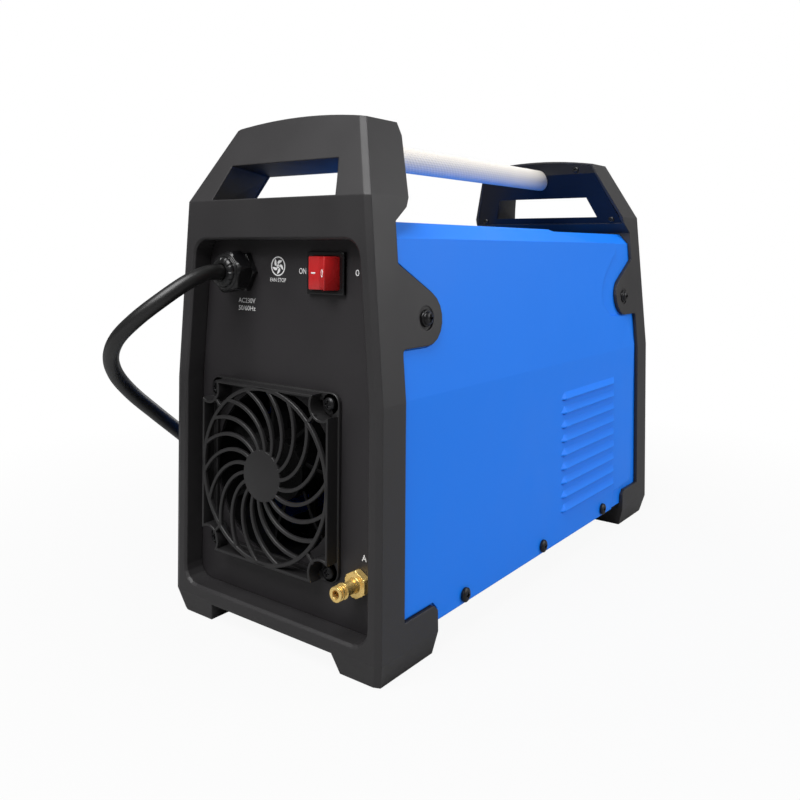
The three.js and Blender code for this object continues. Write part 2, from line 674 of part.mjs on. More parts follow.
// Only the sides and the top move when the loop is spread: its lowest edge stays at the bottom of the cover.
function shiftedOutline(outer) {
  return outer.map(([x, z]) => [x, z < COVER_BOTTOM_Z + PAST ? COVER_BOTTOM_Z : z]);
}

function coverSheet() {
  const outline = coverLoop();
  const layer = (offset, y0, y1) => prism('y', shiftedOutline(spread(outline, offset)), y0, y1);
  const [back, front] = [COVER_END_Y, -COVER_END_Y];
  const openBelow = (offset) => {
    const inside = spread(outline, offset);
    const opened = inside.map(([x, z]) => [x, z < COVER_BOTTOM_Z + PAST ? COVER_BOTTOM_Z - PAST : z]);
    return prism('y', opened, front - 1, back + 1);
  };
  const mask = prism('x', fieldOutline(), -WIDTH, WIDTH);
  const maskInside = prism('x', spread(fieldOutline(), -SHEET), -WIDTH, WIDTH);
  let sheet = join(layer(0, front, back), layer(FIELD_RAISE, front, back).intersect(mask));
  sheet = cut(sheet, openBelow(-SHEET), openBelow(FIELD_RAISE - SHEET).intersect(maskInside));
  for (let i = 0; i < LOUVRE_COUNT; i += 1) {
    const z = LOUVRE_FIRST_Z - i * LOUVRE_PITCH;
    for (const side of [-1, 1]) {
      sheet = cut(sheet.add(louvre(z, side, 0)), louvre(z, side, SHEET));
    }
  }
  for (const y of SIDE_SCREW_YS) {
    sheet = cut(sheet, rod('x', SIDE_SCREW_SHANK + 2 * GAP, -WIDTH, WIDTH, [0, y, SIDE_SCREW_Z], 12));
  }
  for (const y of [REAR - LUG_REACH, -REAR + LUG_REACH]) {
    sheet = cut(sheet, rod('x', LUG_SCREW_SHANK + 2 * GAP, -WIDTH, WIDTH, [0, y, LUG_Z], 12));
  }
  return sheet;
}

const FIELD_X = HALF - COVER_INSET + FIELD_RAISE; // outer face of the field below the bend

// A pressed hood: it swells from nothing at its upper edge to its full raise at its lower lip.
function louvre(z, side, inset) {
  const half = LOUVRE_LENGTH / 2 - inset;
  const [deep, out] = [FIELD_X - 0.4 - inset, FIELD_X + LOUVRE_RAISE - inset];
  const [top, bottom] = [z - inset, z - LOUVRE_HEIGHT + (inset ? -1 : 0)];
  const face = (y, x) => [
    [side * deep, y, top],
    [side * x, y, bottom + LOUVRE_LIP],
    [side * x, y, bottom],
    [side * deep, y, bottom],
  ];
  const ys = [-half, -half + LOUVRE_RAMP, half - LOUVRE_RAMP, half].map((y) => LOUVRE_MIDDLE_Y + y);
  return loft([face(ys[0], deep + 0.1), face(ys[1], out), face(ys[2], out), face(ys[3], deep + 0.1)]);
}

// ---------------------------------------------------------------- base tray
const COVER_INNER_X = HALF - COVER_INSET - SHEET; // inside of the cover, below the bend
const TRAY_SIDE = COVER_INNER_X - GAP;
const TRAY_Z = COVER_BOTTOM_Z + GAP;

function baseTray() {
  const end = COVER_END_Y - 4;
  const right = [[TRAY_SIDE, TRAY_Z], [TRAY_SIDE, TRAY_FLANGE_TOP_Z]];
  const outside = [...right, ...mirrored(right)];
  const inner = TRAY_SIDE - TRAY_THICKNESS;
  let tray = prism('y', outside, -end, end);
  tray = cut(tray, box(-inner, inner, -end - 1, end + 1, TRAY_Z + TRAY_THICKNESS, TRAY_FLANGE_TOP_Z + 1));
  for (const y of SIDE_SCREW_YS) {
    tray = cut(tray, rod('x', SIDE_SCREW_SHANK + 2 * GAP, -WIDTH, WIDTH, [0, y, SIDE_SCREW_Z], 12));
  }
  for (const [x, y] of boardCorners()) {
    tray = tray.add(rod('z', PILLAR_DIAMETER, TRAY_Z + 0.5, BOARD_Z - GAP, [x, y, 0], 12));
  }
  return tray;
}

function boardCorners() {
  const [u, v] = [BOARD_WIDTH / 2 - 8, BOARD_LENGTH / 2 - 8];
  return [[-u, -v], [u, -v], [-u, v], [u, v]].map(([x, y]) => [x, BOARD_MIDDLE_Y + y]);
}

// ---------------------------------------------------------------- panels
function panelBlank() {
  return prism('y', coverLoop(), PANEL_BACK_Y, PANEL_Y);
}

function rearPanel() {
  const through = (points) => prism('y', points, PANEL_BACK_Y - PAST, PANEL_Y + PAST);
  const rectangle = (x, z, w, h) => [[x - w, z - h], [x + w, z - h], [x + w, z + h], [x - w, z + h]];
  const [from, to] = [PANEL_BACK_Y - PAST, PANEL_Y + PAST];
  const hole = (x, z, diameter, sides) => rod('y', diameter + 2 * GAP, from, to, [x, 0, z], sides);
  return cut(
    panelBlank(),
    hole(FAN_X, FAN_Z, FAN_BORE, 40),
    through(rectangle(SWITCH_X, SWITCH_Z, BEZEL_WIDTH / 2 - BEZEL_LAP, BEZEL_HEIGHT / 2 - BEZEL_LAP)),
    hole(GLAND_X, GLAND_Z, GLAND_THREAD, 24),
    hole(NIPPLE_X, NIPPLE_Z, NIPPLE_THREAD, 16),
    ...cornerScrewSpots().map(([x, z]) => hole(x, z, FAN_SCREW_SHANK, 12)),
  );
}

function frontPanel() {
  const [from, to] = [-PANEL_Y - PAST, -PANEL_BACK_Y + PAST];
  const hole = (x, z, diameter) => rod('y', diameter + 2 * GAP, from, to, [x, 0, z], 16);
  const [w, h] = [DISPLAY_WIDTH / 2 - DISPLAY_RIM, DISPLAY_HEIGHT / 2 - DISPLAY_RIM];
  const opening = box(-w, w, from, to, DISPLAY_Z - h, DISPLAY_Z + h);
  const lamps = [-1, 1].map((side) => hole((side * LAMP_SPACING) / 2, LAMP_Z, LAMP_DIAMETER - 1.5));
  return cut(
    panelBlank().rotate([0, 0, 180]),
    opening,
    ...lamps,
    hole(0, KNOB_Z, KNOB_SHAFT + 1),
    hole(-BUTTON_X, KNOB_Z, BUTTON_DIAMETER),
    hole(BUTTON_X, KNOB_Z, BUTTON_DIAMETER),
    hole(TORCH_X, SOCKET_Z, TORCH_BARREL - 6),
    hole(EARTH_X, SOCKET_Z, EARTH_BARREL - 6),
  );
}

// ---------------------------------------------------------------- fan and guard
function fanFrame() {
  const half = FAN_SIZE / 2;
  const y1 = PANEL_BACK_Y - GAP;
  const y0 = y1 - FAN_DEPTH;
  const at = [FAN_X, 0, FAN_Z];
  let frame = cut(
    box(FAN_X - half, FAN_X + half, y0, y1, FAN_Z - half, FAN_Z + half),
    rod('y', FAN_BORE, y0 - 1, y1 + 1, at, 28),
  );
  // The motor plate and its four arms sit at the inner end.
  const plate = rod('y', FAN_HUB, y0, y0 + 5, at, 20);
  const reach = FAN_BORE / 2 + 1;
  const arms = join(
    box(FAN_X - reach, FAN_X + reach, y0, y0 + 3, FAN_Z - 3, FAN_Z + 3),
    box(FAN_X - 3, FAN_X + 3, y0, y0 + 3, FAN_Z - reach, FAN_Z + reach),
  );
  const shaft = rod('y', FAN_SHAFT, y0 + 4, y1 - 8, at, 12);
  frame = join(frame, plate, arms, shaft);
  for (const [x, z] of cornerScrewSpots()) {
    frame = cut(frame, rod('y', FAN_SCREW_SHANK + 2 * GAP, y1 - FAN_SCREW_LENGTH, y1 + 1, [x, 0, z], 12));
  }
  return frame;
}

function fanRotor() {
  const y1 = PANEL_BACK_Y - GAP - 4;
  const y0 = PANEL_BACK_Y - GAP - FAN_DEPTH + 5 + 2;
  const at = [FAN_X, 0, FAN_Z];
  let rotor = rod('y', FAN_HUB, y0, y1, at, 24);
  const [root, tip] = [FAN_HUB / 2 - 2, FAN_BORE / 2 + 2];
  const lean = (y1 - y0) / 2 - 2;
  const middle = (y0 + y1) / 2;
  for (let i = 0; i < FAN_BLADES; i += 1) {
    const section = (radius, sweep, pitch) => {
      const half = [lean * 0.9, Math.tan(pitch * DEG) * lean];
      return [[-half[1], -half[0]], [-half[1] + 2.2, -half[0]], [half[1] + 2.2, half[0]], [half[1], half[0]]]
        .map(([u, y]) => [u + radius * Math.tan(sweep * DEG), middle + y, radius]);
    };
    const blade = loft([section(root, 0, 42), section((root + tip) / 2, 4, 34), section(tip, 10, 26)]);
    rotor = rotor.add(blade.rotate([0, (i * 360) / FAN_BLADES, 0]).translate([FAN_X, 0, FAN_Z]));
  }
  const bore = rod('y', FAN_SHAFT + 2 * GAP, y0 - 1, y1 - 3, at, 12);
  const swept = rod('y', FAN_BORE - 2 * FAN_TIP_GAP, y0 - 1, y1 + 1, at, 28);
  return cut(rotor.intersect(swept), bore);
}

// Square outline with a concave notch round each corner screw, in the guard's own centre.
function guardOutline(inset) {
  const half = GUARD_SIZE / 2 - inset;
  const notch = GUARD_SIZE / 2 - GUARD_NOTCH_REACH - inset;
  const corner = FAN_PITCH / 2;
  const radius = GUARD_NOTCH_RADIUS + inset;
  const start = Math.acos(Math.min(1, (half - corner) / radius)) / DEG;
  const bend = arc(corner, corner, radius, -start, -270 + start, 5);
  const quarter = [[half, Math.min(notch, bend[0][1])], ...bend, [Math.min(notch, bend[5][0]), half]];
  const all = [];
  for (let k = 0; k < 4; k += 1) {
    const turn = k * 90 * DEG;
    for (const [x, z] of quarter) {
      all.push([x * Math.cos(turn) - z * Math.sin(turn), x * Math.sin(turn) + z * Math.cos(turn)]);
    }
  }
  return all;
}

// Each rib winds off the hub like a spiral and ends on the ring.
function guardRib(index) {
  const [from, to] = [GUARD_HUB / 2 - 1, GUARD_SIZE / 2 - GUARD_RING / 2];
  const base = (index * 360) / GUARD_RIBS;
  const steps = GUARD_RIB_STEPS;
  const line = Array.from({ length: steps + 1 }, (_, i) => {
    const share = i / steps;
    const radius = from + (to - from) * share;
    const angle = (base - GUARD_RIB_SWEEP * share ** GUARD_RIB_CURL) * DEG;
    return [radius * Math.cos(angle), radius * Math.sin(angle)];
  });
  const sides = line.map(([x, z], i) => {
    const [px, pz] = line[Math.max(0, i - 1)];
    const [nx, nz] = line[Math.min(steps, i + 1)];
    const [tx, tz] = unit(nx - px, nz - pz);
    const w = GUARD_RIB_WIDTH / 2;
    return [[x + tz * w, z - tx * w], [x - tz * w, z + tx * w]];
  });
  return [...sides.map((pair) => pair[0]), ...sides.map((pair) => pair[1]).reverse()];
}

function fanGuard() {
  const y0 = PANEL_Y + GAP;
  const front = REAR - GUARD_FRONT;
  const half = FAN_SIZE / 2;
  const place = (points) => points.map(([x, z]) => [FAN_X + x, FAN_Z + z]);
  const ring = (radius, from, to) => rod('y', 2 * radius, from, to, [FAN_X, 0, FAN_Z], 40);
  const flange = cut(
    box(FAN_X - half, FAN_X + half, y0, y0 + GUARD_FLANGE, FAN_Z - half, FAN_Z + half),
    prism('y', place(guardOutline(GUARD_WALL)), y0 - 1, y0 + 10),
  );
  const walls = cut(
    prism('y', place(guardOutline(0)), y0 + 0.5, front),
    prism('y', place(guardOutline(GUARD_WALL)), y0 - 1, front + 1),
  );
  const outer = GUARD_SIZE / 2;
  const back = front - GUARD_GRILLE;
  let grille = cut(ring(outer, back, front), ring(outer - GUARD_RING, back - 1, front + 1));
  grille = grille.add(ring(GUARD_HUB / 2, back, front));
  for (let i = 0; i < GUARD_RIBS; i += 1) grille = grille.add(prism('y', place(guardRib(i)), back, front));
  for (let k = 0; k < 4; k += 1) {
    const bar = box(outer - 1, outer + 9, back, front, -GUARD_SPOKE / 2, GUARD_SPOKE / 2);
    const spoke = bar.rotate([0, 45 + 90 * k, 0]);
    grille = grille.add(spoke.translate([FAN_X, 0, FAN_Z]));
  }
  const trimmed = grille.intersect(prism('y', place(guardOutline(0)), back - 1, front + 1));
  let guard = join(flange, walls, trimmed);
  for (const [x, z] of cornerScrewSpots()) {
    guard = cut(guard, rod('y', FAN_SCREW_HOLE, y0 - 1, y0 + 20, [x, 0, z], 12));
  }
  return guard;
}

function guardScrew(x, z) {
  const seat = PANEL_Y + GAP + GUARD_FLANGE + GAP;
  const r = FAN_SCREW_HEAD / 2;
  const head = turned('y', [[0, 0], [r, 0], [r, 1.2], [r / 2, 2.6], [0, 2.8]], [x, seat, z], 12);
  const shank = rod('y', FAN_SCREW_SHANK, seat - FAN_SCREW_LENGTH, seat + 0.5, [x, 0, z], 8);
  return head.add(shank);
}

// ---------------------------------------------------------------- mains switch
function switchBody() {
  const face = PANEL_Y + GAP;
  const back = face - SWITCH_BODY_DEPTH;
  const block = (w, h, from, to) => box(SWITCH_X - w, SWITCH_X + w, from, to, SWITCH_Z - h, SWITCH_Z + h);
  const bezel = block(BEZEL_WIDTH / 2, BEZEL_HEIGHT / 2, face, face + BEZEL_THICKNESS);
  const lap = BEZEL_LAP + GAP;
  const body = block(BEZEL_WIDTH / 2 - lap, BEZEL_HEIGHT / 2 - lap, back, face + 0.5);
  const mouthBack = face - SWITCH_MOUTH_DEPTH;
  const swing = Math.hypot(ROCKER_WAIST / 2, ROCKER_WAIST_DROP);
  const mouth = block(swing + GAP, ROCKER_HEIGHT / 2 + GAP, mouthBack, face + PAST);
  const tab = block(TAB_THICKNESS / 2, TAB_WIDTH / 2, back - TAB_LENGTH, back + 1);
  const tabs = [-TAB_X, TAB_X].map((x) => tab.translate([x, 0, 0]));
  return join(cut(bezel.add(body), mouth), ...tabs);
}

const ROCKER_PIVOT_Y = PANEL_Y + GAP + BEZEL_THICKNESS - ROCKER_SINK;

// Two flat halves that meet in a valley. At rest the half toward +X is pressed in and level with the panel.
function rocker() {
  const top = ROCKER_TOP / 2;
  const waist = ROCKER_WAIST / 2;
  const [belly, keel] = [waist * 0.8, waist * 0.22];
  const under = -(ROCKER_WAIST_DROP + ROCKER_KEEL) * 0.57;
  const section = [[-waist, -ROCKER_WAIST_DROP], [-belly, under], [-keel, -ROCKER_KEEL], [keel, -ROCKER_KEEL],
    [belly, under], [waist, -ROCKER_WAIST_DROP], [top, ROCKER_RISE], [0, ROCKER_VALLEY], [-top, ROCKER_RISE]];
  return prism('z', section, SWITCH_Z - ROCKER_HEIGHT / 2, SWITCH_Z + ROCKER_HEIGHT / 2)
    .rotate([0, 0, -ROCKER_TILT])
    .translate([SWITCH_X, ROCKER_PIVOT_Y, 0]);
}

// ---------------------------------------------------------------- gland and mains lead
function glandBody() {
  const face = PANEL_Y + GAP;
  const hex = prism('y', hexagon(GLAND_X, GLAND_Z, GLAND_FLATS), face, face + GLAND_BASE);
  const from = face - GAP - PANEL_THICKNESS - GLAND_THREAD_REACH;
  return hex.add(rod('y', GLAND_THREAD, from, face + 1, [GLAND_X, 0, GLAND_Z]));
}

const GLAND_NUT_Y = PANEL_Y + 2 * GAP + GLAND_BASE;
const GLAND_FACE_Y = GLAND_NUT_Y + GLAND_NUT + GLAND_DOME;

function glandNut() {
  const hex = prism('y', hexagon(GLAND_X, GLAND_Z, GLAND_FLATS), GLAND_NUT_Y, GLAND_NUT_Y + GLAND_NUT);
  const wide = GLAND_DOME_DIAMETER / 2;
  const dome = turned('y', [[0, -1], [wide, -1], [wide, GLAND_DOME - 2], [wide - 1, GLAND_DOME - 0.6],
    [wide - 2.4, GLAND_DOME], [0, GLAND_DOME]], [GLAND_X, GLAND_NUT_Y + GLAND_NUT, GLAND_Z], 24);
  return hex.add(dome);
}

function glandLocknut() {
  const y1 = PANEL_BACK_Y - GAP;
  const nut = prism('y', hexagon(GLAND_X, GLAND_Z, GLAND_LOCKNUT_FLATS), y1 - GLAND_LOCKNUT, y1);
  return cut(nut, rod('y', GLAND_THREAD + 2 * GAP, y1 - 20, y1 + 1, [GLAND_X, 0, GLAND_Z]));
}

// Coil: a flat spiral inward on the floor, a climb of one layer, and a spiral back out.
const COIL_RADIUS = CORD_DIAMETER / 2;
const COIL_LOW_Z = COIL_RADIUS + FLOOR_GAP;
const COIL_HIGH_Z = COIL_LOW_Z + COIL_PITCH;

function coilPoint(turns) {
  const middle = COIL_LOOPS / 2;
  const inward = middle - Math.abs(turns - middle);
  const radius = COIL_OUTER_RADIUS - COIL_PITCH * inward;
  const climb = THREE.MathUtils.clamp((turns - middle) * 2 + 0.5, 0, 1);
  const angle = Math.PI + turns * 2 * Math.PI;
  return new THREE.Vector3(
    COIL_X + radius * Math.cos(angle),
    COIL_Y + radius * Math.sin(angle),
    COIL_LOW_Z + (COIL_HIGH_Z - COIL_LOW_Z) * (0.5 - 0.5 * Math.cos(Math.PI * climb)),
  );
}

const SMALL = 1e-4;
const coilStart = coilPoint(0);
const coilEnd = coilPoint(COIL_LOOPS);
const coilIn = coilPoint(SMALL).sub(coilStart).setZ(0).normalize(); // heading where the coil starts
const coilOut = coilEnd.clone().sub(coilPoint(COIL_LOOPS - SMALL)).setZ(0).normalize();
const along = (point, heading, distance) => point.clone().addScaledVector(heading, distance);

class Polyline extends THREE.Curve {
  constructor(points) {
    super();
    this.points = points;
  }

  getPoint(share) {
    const at = share * (this.points.length - 1);
    const from = Math.min(Math.floor(at), this.points.length - 2);
    return this.points[from].clone().lerp(this.points[from + 1], at - from);
  }
}

function sweep(curve, diameter, sides, steps) {
  const ring = Array.from({ length: sides }, (_, i) => {
    const angle = (2 * Math.PI * i) / sides;
    return new THREE.Vector2((diameter / 2) * Math.cos(angle), (diameter / 2) * Math.sin(angle));
  });
  const geometry = new THREE.ExtrudeGeometry(new THREE.Shape(ring), { steps, extrudePath: curve });
  return solid(geometry);
}

function coilLine() {
  const points = [along(coilStart, coilIn, -CORD_DIAMETER)];
  for (let i = 0; i <= COIL_LOOPS * COIL_STEPS; i += 1) points.push(coilPoint(i / COIL_STEPS));
  points.push(along(coilEnd, coilOut, CORD_DIAMETER));
  return points;
}

// Least distance between the surfaces of turns that lie more than half a turn apart.
function leastCoilGap() {
  let least = Infinity;
  const line = Array.from({ length: COIL_LOOPS * 96 + 1 }, (_, i) => coilPoint(i / 96));
  for (let i = 0; i < line.length; i += 1) {
    for (let j = i + 48; j < line.length; j += 1) least = Math.min(least, line[i].distanceTo(line[j]));
  }
  return least - CORD_DIAMETER;
}

// Free stretch from the gland: it droops at once, swings round the corner of the rear frame and runs down
// the far side to the floor.
function mainsRoute() {
  const end = along(coilStart, coilIn, -CORD_DIAMETER - GAP);
  return [
    new THREE.Vector3(GLAND_X, GLAND_FACE_Y + GAP, GLAND_Z),
    new THREE.Vector3(GLAND_X, 227, 240.4),
    new THREE.Vector3(43.4, 241, 235.5),
    new THREE.Vector3(51.8, 258.8, 222.3),
    new THREE.Vector3(64, 267.3, 210.6),
    new THREE.Vector3(80, 269.5, 197.8),
    new THREE.Vector3(96, 263.5, 184),
    new THREE.Vector3(108.5, 251, 169.5),
    new THREE.Vector3(116, 233.5, 154),
    new THREE.Vector3(119, 211, 136),
    new THREE.Vector3(119.6, 184, 114),
    new THREE.Vector3(120, 152, 86),
    new THREE.Vector3(120.5, 119, 56.5),
    new THREE.Vector3(120.9, 88, 30),
    new THREE.Vector3(121.1, 60, 11.5),
    along(end, coilIn, -1.6 * CORD_DIAMETER),
    end,
  ];
}

function addMainsLead() {
  const route = new THREE.CatmullRomCurve3(mainsRoute(), false, 'centripetal');
  add('mains_cord', sweep(route, CORD_DIAMETER, CORD_SIDES, 30), 'rubber');
  const coil = coilLine();
  const segments = COIL_LOOPS * COIL_STEPS + 2;
  add('cord_coil', sweep(new Polyline(coil), CORD_DIAMETER, COIL_SIDES, segments), 'rubber');
  const tailStart = along(coilEnd, coilOut, CORD_DIAMETER + GAP);
  const plugZ = PLUG_DIAMETER / 2 + FLOOR_GAP;
  const tailEnd = along(tailStart, coilOut, TAIL_LENGTH).setZ(plugZ);
  const tail = new THREE.CatmullRomCurve3([
    tailStart,
    along(tailStart, coilOut, CORD_DIAMETER),
    along(tailEnd, coilOut, -CORD_DIAMETER),
    tailEnd,
  ], false, 'centripetal');
  add('cord_tail', sweep(tail, CORD_DIAMETER, CORD_SIDES, 5), 'rubber');
  addPlug(along(tailEnd, coilOut, GAP), coilOut);
}

// The plug is turned about its own axis and then laid along the tail's heading.
function addPlug(start, heading) {
  const turn = Math.atan2(heading.y, heading.x) / DEG;
  const lay = (body) => body.rotate([0, 0, turn]).translate(start.toArray());
  const [thin, thick, wide] = [CORD_DIAMETER / 2 + 0.6, RELIEF_DIAMETER / 2, PLUG_DIAMETER / 2];
  const relief = turned('x', [[0, 0], [thin, 0], [thick, RELIEF_LENGTH], [0, RELIEF_LENGTH]], [0, 0, 0], 12);
  add('plug_relief', lay(relief), 'rubber');
  const from = RELIEF_LENGTH + GAP;
  const end = from + PLUG_LENGTH;
  const [neck, shoulder] = [from + PLUG_LENGTH / 4, from + PLUG_LENGTH / 2];
  const outside = [[0, from], [thick + 1, from], [wide - 3, neck], [wide, shoulder], [wide, end], [0, end]];
  const body = turned('x', outside, [0, 0, 0], 20);
  add('plug_body', lay(body), 'darkPlastic');
  const face = end + GAP;
  ['left', 'right'].forEach((side, k) => {
    const y = (k ? -1 : 1) * (PIN_SPACING / 2);
    const r = PIN_DIAMETER / 2;
    const profile = [[0, 0], [r, 0], [r, PIN_LENGTH - 1.5], [r - 1, PIN_LENGTH], [0, PIN_LENGTH]];
    const pin = turned('x', profile, [face, y, 0], 10);
    add(`plug_pin_${side}`, lay(pin), 'steel');
  });
}

// ---------------------------------------------------------------- air inlet
function airNipple() {
  const face = PANEL_Y + GAP;
  const at = [NIPPLE_X, face, NIPPLE_Z];
  const hex = prism('y', hexagon(NIPPLE_X, NIPPLE_Z, NIPPLE_FLATS), face, face + NIPPLE_HEX);
  const stem = turned('y', [
    [0, NIPPLE_HEX - 1], [4.2, NIPPLE_HEX - 1], [4.2, 10], [3.6, 10.5], [3.6, 12.5], [4.9, 13], [4.9, 14.6],
    [3.7, 15.4], [3.7, 16.6], [4.6, 17], [4.6, 18.4], [3.6, 19.2], [3.6, 20], [4.3, 20.5],
    [4.3, NIPPLE_LENGTH - 0.7], [3.7, NIPPLE_LENGTH], [0, NIPPLE_LENGTH],
  ], at, 14);
  const thread = rod('y', NIPPLE_THREAD, -PANEL_THICKNESS - NIPPLE_THREAD_REACH, 1, at, 16);
  const bore = rod('y', NIPPLE_BORE, 4, NIPPLE_LENGTH + 1, at, 12);
  return cut(join(hex, stem, thread), bore);
}

// ---------------------------------------------------------------- small screws
function sideScrew(y, side) {
  const seat = HALF - COVER_INSET + GAP;
  const r = SIDE_SCREW_HEAD / 2;
  const profile = [[0, 0], [r, 0], [r, 1], [r - 1.6, 2.4], [0, 2.8]];
  const head = turned('x', profile, [seat + FIELD_RAISE, 0, 0], 12);
  const shank = rod('x', SIDE_SCREW_SHANK, seat - SIDE_SCREW_LENGTH, seat + FIELD_RAISE + 0.5, [0, 0, 0], 8);
  return head.add(shank).rotate([0, 0, side > 0 ? 0 : 180]).translate([0, y, SIDE_SCREW_Z]);
}

function lugScrew(y, side) {
  const seat = sideAt(LUG_Z) - CUP_DEPTH + GAP;
  const r = LUG_SCREW_HEAD / 2;
  const top = LUG_SCREW_HEAD_HEIGHT;
  const head = turned('x', [[0, 0], [r, 0], [r, top - 1], [r - 1.2, top], [0, top + 0.4]], [seat, 0, 0], 16);
  const shank = rod('x', LUG_SCREW_SHANK, seat - LUG_SCREW_LENGTH, seat + 0.5, [0, 0, 0], 8);
  return head.add(shank).rotate([0, 0, side > 0 ? 0 : 180]).translate([0, y, LUG_Z]);
}

// ---------------------------------------------------------------- front controls
const FRONT_FACE = -PANEL_Y; // outer face of the front panel; pieces stand out toward -Y

function displayWindow() {
  const [w, h] = [DISPLAY_WIDTH / 2, DISPLAY_HEIGHT / 2];
  const face = FRONT_FACE - GAP;
  const bezel = box(-w, w, face - DISPLAY_THICKNESS, face, DISPLAY_Z - h, DISPLAY_Z + h);
  const [u, v] = [w - DISPLAY_RIM - GAP, h - DISPLAY_RIM - GAP];
  const back = box(-u, u, face - 0.5, face + DISPLAY_BACK, DISPLAY_Z - v, DISPLAY_Z + v);
  return bezel.add(back);
}

function statusLamp(x) {
  const r = LAMP_DIAMETER / 2;
  const at = [x, FRONT_FACE - GAP, LAMP_Z];
  const lens = turned('y', [[0, -3], [r * 0.6, -2.6], [r, -1.2], [r, 0], [0, 0]], at, 16);
  return lens.add(rod('y', LAMP_DIAMETER - 1.5, -0.5, 8, at, 12));
}

function currentKnob() {
  const r = KNOB_DIAMETER / 2;
  const at = [0, FRONT_FACE - 1, KNOB_Z];
  const top = -KNOB_HEIGHT;
  const profile = [[0, top], [r - 5, top], [r - 3.5, top + 1.5], [r - 2, -3], [r, -2], [r, 0], [0, 0]];
  const skirt = turned('y', profile, at, 28);
  const shaft = rod('y', KNOB_SHAFT, -1, KNOB_SHAFT_LENGTH, at, 16);
  const mark = box(-0.9, 0.9, FRONT_FACE - KNOB_HEIGHT - 2, FRONT_FACE - 4, KNOB_Z + 4, KNOB_Z + r - 3.2);
  return join(skirt, shaft).add(mark);
}

function pushButton(x) {
  const r = BUTTON_DIAMETER / 2;
  const at = [x, FRONT_FACE, KNOB_Z];
  const top = -BUTTON_HEIGHT;
  const cap = turned('y', [[0, top], [r - 1, top], [r, top + 1], [r, 4], [0, 4]], at, 20);
  const flangeFrom = PANEL_THICKNESS + GAP;
  return cap.add(rod('y', BUTTON_DIAMETER + 4, flangeFrom, flangeFrom + 2, at, 20));
}

function panelSocket(x, flange, barrel, bore) {
  const at = [x, FRONT_FACE - GAP, SOCKET_Z];
  const [r, wide, top] = [barrel / 2, flange / 2, -SOCKET_REACH];
  const barrelSide = [[0, top], [r - 1, top], [r, top + 1], [r, -4]];
  const flangeSide = [[wide - 1, -4], [wide, -3], [wide, 0], [0, 0]];
  const out = turned('y', [...barrelSide, ...flangeSide], at, 24);
  const back = rod('y', barrel - 6, -1, SOCKET_BACK, at, 16);
  const mouth = rod('y', bore, -SOCKET_REACH - 1, -SOCKET_REACH + SOCKET_BORE_DEPTH, at, 16);
  return cut(out.add(back), mouth);
}

// ---------------------------------------------------------------- inside
function mainBoard() {
  const [u, v] = [BOARD_WIDTH / 2, BOARD_LENGTH / 2];
  return box(-u, u, BOARD_MIDDLE_Y - v, BOARD_MIDDLE_Y + v, BOARD_Z, BOARD_Z + BOARD_THICKNESS);
}

function heatsink(side) {
  const [z0, z1] = [BOARD_Z + BOARD_THICKNESS + GAP, BOARD_Z + BOARD_THICKNESS + GAP + SINK_HEIGHT];
  const points = [[0, z0], [SINK_DEPTH, z0]];
  const pitch = SINK_HEIGHT / (SINK_FINS - 0.5);
  for (let i = 0; i < SINK_FINS; i += 1) {
    const low = z0 + i * pitch;
    if (i > 0) points.push([SINK_BASE, low], [SINK_DEPTH, low]);
    points.push([SINK_DEPTH, low + pitch / 2]);
    if (i < SINK_FINS - 1) points.push([SINK_BASE, low + pitch / 2]);
  }
  points.push([0, z1]);
  const placed = points.map(([x, z]) => [side * (SINK_X + x), z]);
  const outline = side > 0 ? placed : placed.reverse();
  return prism('y', outline, BOARD_MIDDLE_Y - SINK_LENGTH / 2, BOARD_MIDDLE_Y + SINK_LENGTH / 2);
}

function powerModule(side) {
  const [w, l, h] = MODULE_SIZE;
  const x = side * (SINK_X - GAP - w / 2);
  const z = BOARD_Z + BOARD_THICKNESS + SINK_HEIGHT / 2;
  const y = BOARD_MIDDLE_Y - 34;
  return box(x - w / 2, x + w / 2, y - l / 2, y + l / 2, z - h / 2, z + h / 2);
}

function capacitor(x) {
  const z0 = BOARD_Z + BOARD_THICKNESS + GAP;
  const r = CAPACITOR_DIAMETER / 2;
  const top = CAPACITOR_HEIGHT;
  return turned('z', [[0, 0], [r, 0], [r, top - 1], [r - 1, top], [0, top]], [x, CAPACITOR_Y, z0], 20);
}

const CORE_Y = BOARD_MIDDLE_Y + 30;

function transformerCore() {
  const [w, d, h] = CORE_SIZE;
  const z0 = BOARD_Z + BOARD_THICKNESS + GAP;
  const leg = CORE_LEG / 2;
  const block = box(-w / 2 + 2, w / 2 - 2, CORE_Y - d / 2, CORE_Y + d / 2, z0, z0 + h);
  const windows = [-1, 1].map((side) => {
    const [near, far] = [leg, w / 2 - 2 - leg];
    const [x0, x1] = side > 0 ? [near, far] : [-far, -near];
    return box(x0, x1, CORE_Y - d, CORE_Y + d, z0 + leg, z0 + h - leg);
  });
  return cut(block, ...windows);
}

function transformerWinding() {
  const [w, d, h] = CORE_SIZE;
  const z0 = BOARD_Z + BOARD_THICKNESS + GAP;
  const leg = CORE_LEG / 2;
  const [wide, deep] = [w / 2 - 2 - leg - GAP, d / 2 + 9];
  const [low, high] = [z0 + leg + GAP, z0 + h - leg - GAP];
  return cut(
    box(-wide, wide, CORE_Y - deep, CORE_Y + deep, low, high),
    box(-leg - GAP, leg + GAP, CORE_Y - d / 2 - GAP, CORE_Y + d / 2 + GAP, low - 1, high + 1),
  );
}

